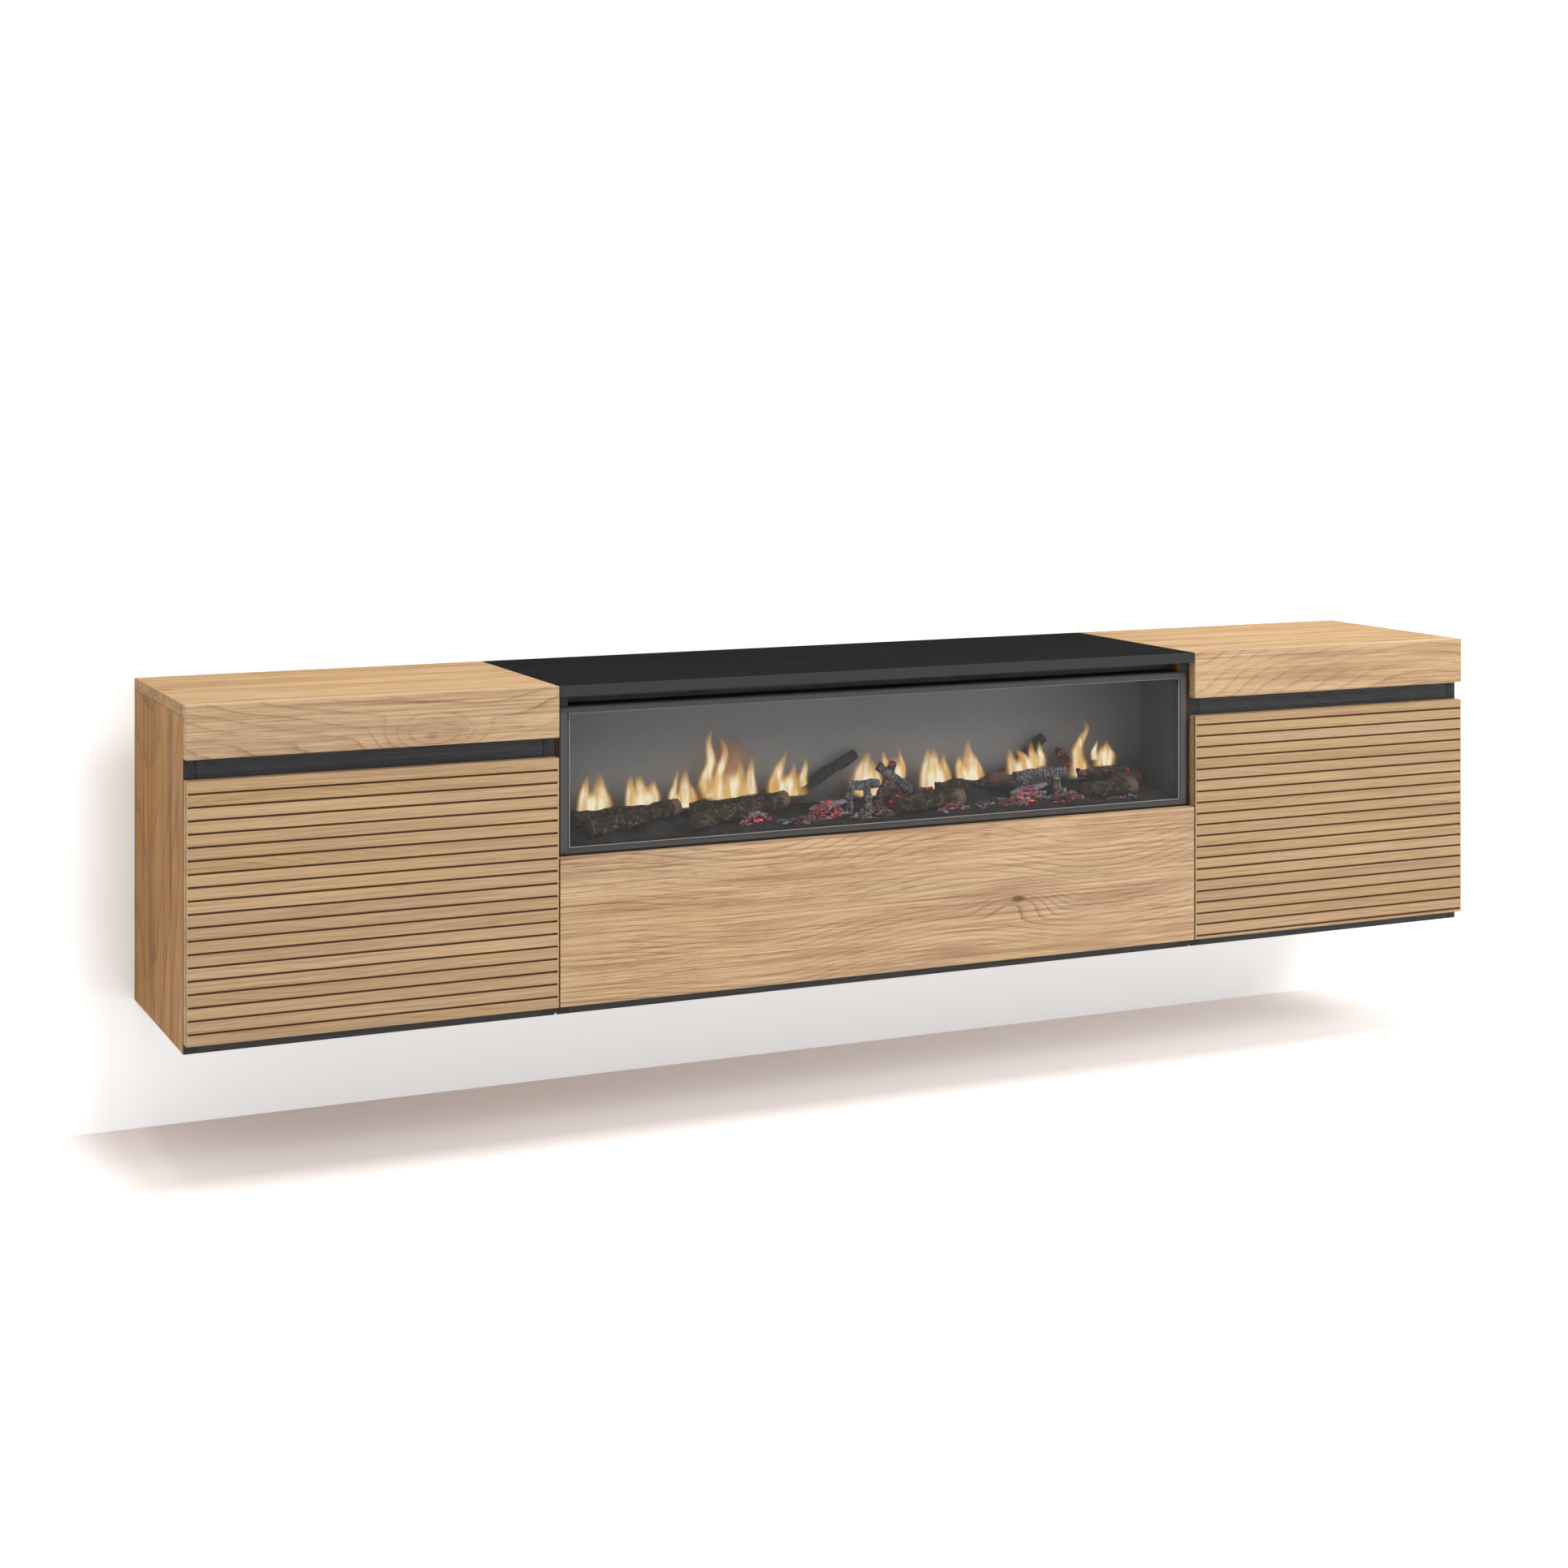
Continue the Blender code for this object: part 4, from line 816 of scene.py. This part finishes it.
def make_fuel_bed():
    """The logs, the ground under them and the broken embers."""
    soil = plain_finish("soot_ground", (0.040, 0.039, 0.038), 0.75, grain=500.0, variation=0.35,
                        relief=0.0003, specular=0.0)
    bed = finished_piece("bed_ground", make_ground(), soil)
    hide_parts("fuel_bed")

    # Depth and finish of each kind's bark: its dark, its light, its spots and its two sawn ends
    kinds = {
        "bark": (0.20, bark_finish(
            "mossy_bark", (0.010, 0.007, 0.004), (0.056, 0.038, 0.022), (0.310, 0.215, 0.110),
            (0.180, 0.075, 0.045), (0.330, 0.210, 0.135), bare=0.013)),
        "dark": (0.15, bark_finish(
            "sooty_bark", (0.011, 0.008, 0.006), (0.056, 0.038, 0.024), (0.200, 0.140, 0.080),
            (0.110, 0.055, 0.034), (0.260, 0.150, 0.095), bare=0.036)),
        "smooth": (0.05, bark_finish(
            "smooth_char", (0.030, 0.028, 0.026), (0.055, 0.050, 0.045), (0.062, 0.056, 0.050),
            (0.016, 0.015, 0.014), (0.050, 0.046, 0.042))),
        "ash": (0.12, bark_finish(
            "ashen_char", (0.030, 0.029, 0.030), (0.120, 0.120, 0.126), (0.240, 0.245, 0.260),
            (0.160, 0.125, 0.100), (0.120, 0.125, 0.135), glow=0.25, ash=0.9)),
        "charred": (0.14, bark_finish(
            "glowing_char", (0.020, 0.012, 0.010), (0.090, 0.044, 0.034), (0.320, 0.120, 0.090),
            (0.080, 0.030, 0.022), (0.160, 0.080, 0.060), glow=0.8, ash=0.2)),
    }
    for kind, (relief, finish) in kinds.items():
        shape = bmesh.new()
        for number, (start, end, thickness, what) in enumerate(logs):
            if what == kind:
                add_log(shape, bed_place(*start), bed_place(*end), thickness * log_radius, number,
                        relief, squareness=0.6 if kind == "ash" else 0.0)
        bmesh.ops.recalc_face_normals(shape, faces=shape.faces)
        piece = finished_piece(kind + "_logs", shape, finish)
        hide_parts("fuel_bed")

    embers = ember_finish()
    chance = random.Random(5)
    for number, heap in enumerate(heaps):
        lumps = bmesh.new()
        add_heap(lumps, heap, chance)
        if number in ash_caps:
            add_ash_cap(lumps, *ash_caps[number])
        piece = finished_piece("ember_heap_%02d" % number, lumps, embers, smooth=False)
        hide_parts("fuel_bed")


def add_lump(shape, place, size, turn, stretch, rough, heat, ash, fineness=2):
    """One lump of ember, with its heat and its ash."""
    heat_layer, ash_layer = float_layers(shape, "lump_heat", "lump_ash")
    made = bmesh.ops.create_icosphere(
        shape, subdivisions=fineness, radius=size,
        matrix=Matrix.Translation(place) @ turn @ Matrix.Diagonal((*stretch, 1)))["verts"]
    for vertex in made:
        vertex.co += noise.noise_vector(vertex.co * 330) * rough
        vertex[heat_layer] = heat
        vertex[ash_layer] = ash


def add_heap(shape, heap, chance):
    """A heap of broken embers on the bed: some lumps are pale with ash and some have gone cool."""
    centre_x, centre_y, spread_x, spread_y, height, count, heat, ash = heap
    for _ in range(count):
        angle = chance.uniform(0, 2 * math.pi)
        away = math.sqrt(chance.random())
        x = (centre_x + away * math.cos(angle) * spread_x) / 1000
        y = (centre_y + away * math.sin(angle) * spread_y) / 1000
        y = max(bed_low.y + 0.006, min(bed_high.y - 0.004, y))
        pale = chance.random() < 0.22
        size = chance.uniform(0.0014, 0.0032) * (1.35 if pale else 1.0)
        share = chance.uniform(0.35, 1.0)
        level = bed_level(x, y) + share * math.cos(away * math.pi / 2) * height / 1000
        turn = Matrix.Rotation(chance.uniform(-0.5, 0.5), 4, "Y") @ Matrix.Rotation(
            chance.uniform(0, math.pi), 4, "Z")
        stretch = (chance.uniform(1.1, 2.9), chance.uniform(0.6, 1.0), chance.uniform(0.4, 0.8))
        warmth = heat * chance.uniform(0.3, 1.3) * (1.25 - abs(math.cos(angle)) * away)
        warmth *= 1.2 if share < 0.85 else 0.6
        cool = math.sin(977 * x) * math.sin(1290 * y) > 0.1
        held_heat, held_ash = (0.4, 1.0) if pale else (0.25, 0.3) if cool else (1.0, 0.1)
        add_lump(shape, (x, y, level), size, turn, stretch, size * 0.55,
                 min(1.0, warmth) * held_heat, ash * held_ash)


def add_ash_cap(shape, cap_x, cap_y, cap_z, length):
    """Long pale flakes that lie over a heap."""
    turn = Matrix.Rotation(-0.22, 4, "Y")
    for share in (-0.8, -0.3, 0.2, 0.7):
        place = Vector((cap_x + share * length / 2, cap_y, cap_z + share * 2.5)) / 1000
        add_lump(shape, place, length / 4200, turn, (1.6, 0.8, 0.36), 0.0014, 0.15, 0.75, 3)


def smooth_line(points, steps):
    """Points on a smooth curve through the given ones."""
    padded_points = [2 * points[0] - points[1], *points, 2 * points[-1] - points[-2]]
    line = []
    for index in range(len(points) - 1):
        a, b, c, d = padded_points[index:index + 4]
        for step in range(steps):
            t = step / steps
            line.append(0.5 * ((2 * b) + (c - a) * t + (2 * a - 5 * b + 4 * c - d) * t * t
                               + (3 * b - a - 3 * c + d) * t * t * t))
    line.append(points[-1])
    return line


def add_tongue(shape, places, y, fullness):
    """One sheet of flame: a grid bent to the tongue's line and widths."""
    layer = shape.loops.layers.uv.get("tongue") or shape.loops.layers.uv.new("tongue")
    line = smooth_line([Vector((x, z, width)) / 1000 for x, z, width in places], 6)
    rows = len(line) - 1
    made = bmesh.ops.create_grid(shape, x_segments=8, y_segments=rows, size=1)["verts"]
    shares = {}
    for vertex in made:
        across = (vertex.co.x + 1) / 2
        up = (vertex.co.y + 1) / 2
        point = line[round(up * rows)]
        shares[vertex] = (across, up)
        bow = tongue_bow * (1 - (2 * across - 1) ** 2)
        width = max(0.002, point.z * fullness + 0.002)
        vertex.co = Vector((point.x + (across - 0.5) * width, y - bow, point.y))
    for face in {face for vertex in made for face in vertex.link_faces}:
        for loop in face.loops:
            loop[layer].uv = shares[loop.vert]


def shared_foot(group):
    """The low wide body that joins the tongues of one flame."""
    places = []
    for row, narrow in ((0, 1.0), (1, 0.94)):
        low_x = min(tongue[row][0] - tongue[row][2] / 2 for tongue in group)
        high_x = max(tongue[row][0] + tongue[row][2] / 2 for tongue in group)
        level = sum(tongue[row][1] for tongue in group) / len(group)
        places.append(((low_x + high_x) / 2, level, (high_x - low_x) * narrow))
    middle, level, width = places[1]
    rise = (level - places[0][1]) * 0.9
    places.append((middle, level + rise, width * 0.70))
    return [(places[0][0], places[0][1] - 2, places[0][2])] + places[1:]


def make_flames():
    """The flames that the screen shows, as thin glowing sheets between the logs."""
    shape = bmesh.new()
    for number, group in enumerate(flames):
        for layer, places in enumerate(group):
            offset = sheet_offset + sheet_step * ((number + layer) % 3)
            add_tongue(shape, places, flame_plane - offset, tongue_fullness)
        if len(group) > 1:
            add_tongue(shape, shared_foot(group), flame_plane - foot_offset, foot_fullness)
    flame = flame_finish("flame_light", (1.0, 0.90, 0.66), (0.84, 0.53, 0.19), (0.52, 0.22, 0.055))
    finished_piece("flame_tongues", shape, flame)
    shape = bmesh.new()
    for places in glows:
        add_tongue(shape, places, flame_plane - glow_offset, glow_fullness)
    glow = flame_finish("flame_haze", (0.34, 0.18, 0.11), (0.30, 0.155, 0.095), (0.22, 0.12, 0.08))
    finished_piece("flame_glow", shape, glow)


def make_slot_strip():
    """The thin dark strip that shows in the slot over the fire, behind the front."""
    low, high = Vector((-0.4848, -0.3052, 0.0472)), Vector((0.4848, -0.3022, 0.0603))
    shape = bmesh.new()
    middle, size = (low + high) / 2, high - low
    bmesh.ops.create_cube(
        shape, size=1, matrix=Matrix.Translation(middle) @ Matrix.Diagonal((*size, 1)))
    bmesh.ops.bevel(shape, geom=shape.edges[:], offset=0.0004, segments=1, profile=0.5,
                    affect="EDGES", material=-1)
    finish = black_wood_finish("slot_strip_black", "front", (0.110, 0.110, 0.110), shine=0.1)
    finished_piece("slot_strip", shape, finish, smooth=False)


def add_screws(name, heads, facing, radius, height, material, body="cabinet"):
    """Round screw heads with a socket, all facing one way."""
    shape = bmesh.new()
    facing = Vector(facing)
    turn = Vector((0, 0, 1)).rotation_difference(facing).to_matrix().to_4x4()
    for head in heads:
        made = bmesh.ops.create_cone(
            shape, cap_ends=True, segments=18, radius1=radius, radius2=radius * 0.74, depth=height,
            matrix=Matrix.Translation(head) @ turn @ Matrix.Translation((0, 0, height / 2)))["verts"]
        ends = {face for vertex in made for face in vertex.link_faces if len(face.verts) == 18}
        top = max(ends, key=lambda face: face.calc_center_median().dot(facing))
        bmesh.ops.inset_individual(shape, faces=[top], thickness=radius * 0.36)
        bmesh.ops.translate(shape, verts=top.verts, vec=-facing * height * 0.6)
    piece = finished_piece(name, shape, material, body, smooth=False)


def even_places(low, high, spacing, margin):
    """Places between two ends, as near to the spacing as fits."""
    first, last = low + margin, high - margin
    count = max(1, round((last - first) / spacing))
    return [first + (last - first) * index / count for index in range(count + 1)]


def make_screws():
    """Screws in the hinge leaves and around the back panels."""
    steel = plain_finish("screw_zinc", (0.55, 0.55, 0.54), 0.35, 1.0, variation=0.1)
    upwards, backwards = (0, 0, 1), (0, 1, 0)
    for side in ("left", "centre", "right"):
        radius, edge, *along = leaf_screws
        low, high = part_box(side + "_case_leaf")
        heads = [(x, high.y - edge, high.z) for x in even_places(low.x, high.x, *along)]
        add_screws(side + "_case_leaf_screws", heads, upwards, radius, case_head_height, steel)
        low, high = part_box(side + "_flap_leaf")
        heads = [(x, high.y, high.z - edge) for x in even_places(low.x, high.x, *along)]
        add_screws(side + "_flap_leaf_screws", heads, backwards, radius, flap_head_height, steel,
                   side + "_flap_body")
        radius, edge, *along = back_screws
        low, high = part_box(side + "_back_panel")
        heads = [(x, high.y, z) for x in even_places(low.x, high.x, *along)
                 for z in (low.z + edge, high.z - edge)]
        heads += [(x, high.y, z) for x in (low.x + edge, high.x - edge)
                  for z in even_places(low.z, high.z, back_side_spacing, back_side_spacing)]
        add_screws(side + "_back_screws", heads, backwards, radius, back_head_height, steel)


def dress_model():
    """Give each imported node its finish."""
    by_slot = {
        "oak_top": oak_finish("oak_top", "top", top_oak, 2.0, heart=0.16, arch=0.10, contrast=1.1,
                              bands=0.55, shine=0.0),
        # The sides' oak carries painted shade
        "oak_side": oak_finish("oak_side", "side", painted_shade_side_oak, 5.0, heart=0.09, arch=0.12, contrast=1.1,
                               bands=0.85, dark_front=True),
        "black_board": black_wood_finish("black_carcass", "front", (0.027, 0.028, 0.030)),
        "hardboard": plain_finish("fibreboard", (0.30, 0.21, 0.13), 0.7, grain=1500.0, variation=0.25,
                                  relief=0.0001),
        "cleat": oak_finish("sawn_cleat", "front", cleat_wood, 8.0, heart=0.04, rings=200.0,
                            contrast=0.7),
        "nickel": plain_finish("nickel_plate", (0.62, 0.61, 0.58), 0.28, 1.0, variation=0.06),
        "zinc": plain_finish("zinc_plate", (0.50, 0.51, 0.52), 0.42, 1.0, variation=0.14),
        # Painted shadow: the satin frame's outer 2.6 mm is near black, for the shadow gap around it
        "frame_grey": frame_finish("satin_frame", (-0.499, 0.499, -0.156, 0.046), (
            (0.0, (0.008, 0.008, 0.008)), (0.0026, (0.073, 0.073, 0.072)))),
        "bezel": frame_finish("bezel_trim", (-0.483, 0.483, -0.145, 0.0355), (
            (-1.0, (0.085, 0.062, 0.050)), (-0.0031, (0.042, 0.041, 0.040)),
            (-0.0011, (0.270, 0.262, 0.255)))),
        "case": plain_finish("case_black", (0.075, 0.074, 0.072), 0.6, variation=0.08, specular=0.1),
        "glass": glass_finish(),
        "screen": screen_finish(),
        "light_board": plain_finish("light_strip", (0.75, 0.74, 0.70), 0.5),
        "mirror_foil": plain_finish("rotor_foil", (0.75, 0.73, 0.66), 0.2, 1.0, variation=0.05),
        "black_plastic": plain_finish("black_plastic", (0.020, 0.020, 0.020), 0.45),
    }
    by_node = {
        "left_fascia": oak_finish("oak_left_fascia", "front", front_oak, 1.4, heart=0.03, rings=260.0,
                                  contrast=1.15),
        "right_fascia": oak_finish("oak_right_fascia", "front", front_oak, 6.2, heart=0.05,
                                   rings=260.0),
        "centre_flap": oak_finish("oak_centre_flap", "front", front_oak, 3.7, heart=0.01, arch=0.20,
                                  rings=215.0, contrast=1.25),
        "left_flap": oak_finish("oak_left_flap", "front", left_slat_oak, 21.0, heart=0.12,
                                contrast=0.6, slats=left_slats),
        "right_flap": oak_finish("oak_right_flap", "front", right_slat_oak, 37.0, heart=0.12,
                                 contrast=0.6, slats=right_slats),
        "centre_top_panel": black_wood_finish("black_top", "top", (0.0125, 0.0125, 0.0125),
                                              (0.050, 0.050, 0.050), 0.0),
    }
    slots = {entry["node"]: entry["material_slot"] for entry in frame["record"]["subparts"]}
    for name, node in stand.items():
        finish = by_node.get(name) or by_slot.get(slots[name])
        if finish:
            node.data.materials.clear()
            node.data.materials.append(finish)


def stage_finish(name, colour, lift, painted_shadow_lift=0.0, painted_contact_shade=0.0):
    """White room paint that shows as plain white to the view and in reflections, with its shadow.

    The painted shadow lift is painted light and shade on the shadow: lighter toward its right end, a
    little darker at its left. The painted contact shade is painted shadow from ambient occlusion, close
    beside the stand. Past the stand's two ends the paint is plain white, painted over the shading
    there, and from its far side it can be seen through.
    """
    material, graph, shader = new_finish(name)
    x, y, z = graph.split(graph.place())
    # Painted light: plain white past the stand's two ends, over the shading and shadow there
    painted_white_past_ends = graph.math("MAXIMUM", graph.span(x, -1.02, -1.19, smooth=True),
                        graph.span(x, 1.05, 1.35, smooth=True))
    # Painted light and shade: the shadow's level rises toward the right and falls a little at the left
    shift = graph.span(x, -1.0, 1.0, -0.35 * painted_shadow_lift, painted_shadow_lift)
    lift = graph.blend(1.0, lift, graph.vector(shift, shift, shift), "ADD")
    lift = graph.blend(painted_white_past_ends, lift, white)
    # Painted shadow: ambient occlusion darkens the wall close beside the stand's ends
    if painted_contact_shade:
        closeness = graph.add("AmbientOcclusion", samples=8)
        closeness.inputs["Distance"].default_value = 0.16
        near = graph.times(graph.minus(1.0, closeness.outputs["AO"]), painted_contact_shade)
        under_top = graph.span(z, 0.03, -0.06, 0.0, 1.0, smooth=True)
        above_foot = graph.span(z, -0.47, -0.34, 0.0, 1.0, smooth=True)
        beside = graph.span(graph.math("ABSOLUTE", x), 0.93, 0.995, smooth=True)
        level = graph.times(near, graph.times(under_top, above_foot))
        lift = graph.blend(graph.math("MULTIPLY", level, beside, clamp=True), lift, black)
    path = graph.add("LightPath").outputs
    from_behind = graph.times(path["Is Camera Ray"], graph.add("NewGeometry").outputs["Backfacing"])
    graph.fill(shader, Base_Color=(*colour, 1), Roughness=0.9, Specular_IOR_Level=0.0,
               Emission_Color=graph.blend(graph.seen(path), black, lift), Emission_Strength=1.0,
               Alpha=graph.minus(1.0, from_behind))
    return material


def make_room():
    """The white wall behind the stand and the pale floor under it.

    Within the stand's outline the wall is open, so that light reaches the stand's back, and an
    unseen seal keeps that light out of the gap under the back.
    """
    floor_level = cad_box[0][2] - floor_drop
    wall, floor, seal = bmesh.new(), bmesh.new(), bmesh.new()
    bmesh.ops.create_grid(
        wall, size=room_reach, matrix=Matrix.Translation((0, wall_gap, floor_level + room_reach))
        @ Matrix.Rotation(math.radians(90), 4, "X"))
    left, right, bottom, top = wall_opening
    for place, across in (((left, 0, 0), (1, 0, 0)), ((right, 0, 0), (1, 0, 0)),
                          ((0, 0, bottom), (0, 0, 1)), ((0, 0, top), (0, 0, 1))):
        bmesh.ops.bisect_plane(wall, geom=wall.verts[:] + wall.edges[:] + wall.faces[:],
                               plane_co=place, plane_no=across)
    centres = {face: face.calc_center_median() for face in wall.faces}
    inside = [face for face, centre in centres.items()
              if left < centre.x < right and bottom < centre.z < top]
    bmesh.ops.delete(wall, geom=inside, context="FACES")
    bmesh.ops.create_grid(
        floor, size=room_reach, matrix=Matrix.Translation((0, wall_gap - room_reach, floor_level)))
    left, right, front, level = slot_seal
    middle = ((left + right) / 2, (front + wall_gap) / 2, level)
    bmesh.ops.create_grid(
        seal, size=0.5, matrix=Matrix.Translation(middle)
        @ Matrix.Diagonal((right - left, wall_gap - front, 1, 1)))
    # On the floor 0.13 is painted light on the shadow's right end; on the wall 1.1 is painted shadow
    # close beside the stand
    for name, shape, colour, lift, painted_shadow_lift, painted_contact_shade in (
            ("room_wall", wall, (0.86, 0.85, 0.85), (0.51, 0.49, 0.475), 0.0, 1.1),
            ("room_floor", floor, (0.95, 0.94, 0.94), (0.29, 0.22, 0.185), 0.13, 0.0),
            ("room_seal", seal, (0.05, 0.05, 0.05), black, 0.0, 0.0)):
        piece = linked_piece(name, shape, stage_finish(name, colour, lift, painted_shadow_lift, painted_contact_shade))
        for ray in ("camera", "glossy", "transmission"):
            setattr(piece, "visible_" + ray, shape is not seal)


def add_lamp(name, place, target, width, height, power):
    """A soft rectangular lamp that faces a place."""
    lamp = bpy.data.lights.new(name, "AREA")
    lamp.shape = "RECTANGLE"
    lamp.size = width
    lamp.size_y = height
    lamp.energy = power
    holder = bpy.data.objects.new(name, lamp)
    holder.location = place
    holder.visible_camera = False
    holder.rotation_euler = (Vector(target) - Vector(place)).to_track_quat("-Z", "Y").to_euler()
    bpy.context.scene.collection.objects.link(holder)


def light_room():
    """Soft studio light: lamps from the front right, from above and behind the wall, and a sky."""
    add_lamp("key_lamp", (2.5, -3.4, 2.5), (0.1, -0.2, -0.2), 2.2, 1.8, 104)
    add_lamp("top_lamp", (0.0, -1.0, 3.2), (0, -0.3, 0), 3.0, 1.4, 62)
    add_lamp("back_lamp", (1.4, 3.0, 1.3), (0, 0, -0.15), 2.2, 1.8, 48)
    world = bpy.data.worlds.new("studio")
    bpy.context.scene.world = world
    world.use_nodes = True
    graph = Graph(world.node_tree)
    seen = graph.seen(graph.add("LightPath").outputs)
    background = world.node_tree.nodes["Background"]
    graph.fill(background, Color=graph.blend(seen, (sky_level, sky_level, sky_level), white))


def place_camera():
    """The photograph's view."""
    camera = bpy.data.cameras.new("photo_view")
    camera.sensor_width = sensor_width
    camera.lens = focal_pixels / image_pixels * sensor_width
    camera.shift_x = (image_pixels / 2 - centre_pixels[0]) / image_pixels
    camera.shift_y = (centre_pixels[1] - image_pixels / 2) / image_pixels
    holder = bpy.data.objects.new("photo_view", camera)
    holder.location = camera_place
    holder.rotation_euler = (math.radians(90), 0, -camera_turn)
    bpy.context.scene.collection.objects.link(holder)
    bpy.context.scene.camera = holder
    bpy.context.scene.view_settings.view_transform = "Standard"


make_grain_effect()
make_mottle_effect()
place_camera()
dress_model()
make_fuel_bed()
make_flames()
make_slot_strip()
make_screws()
make_room()
light_room()
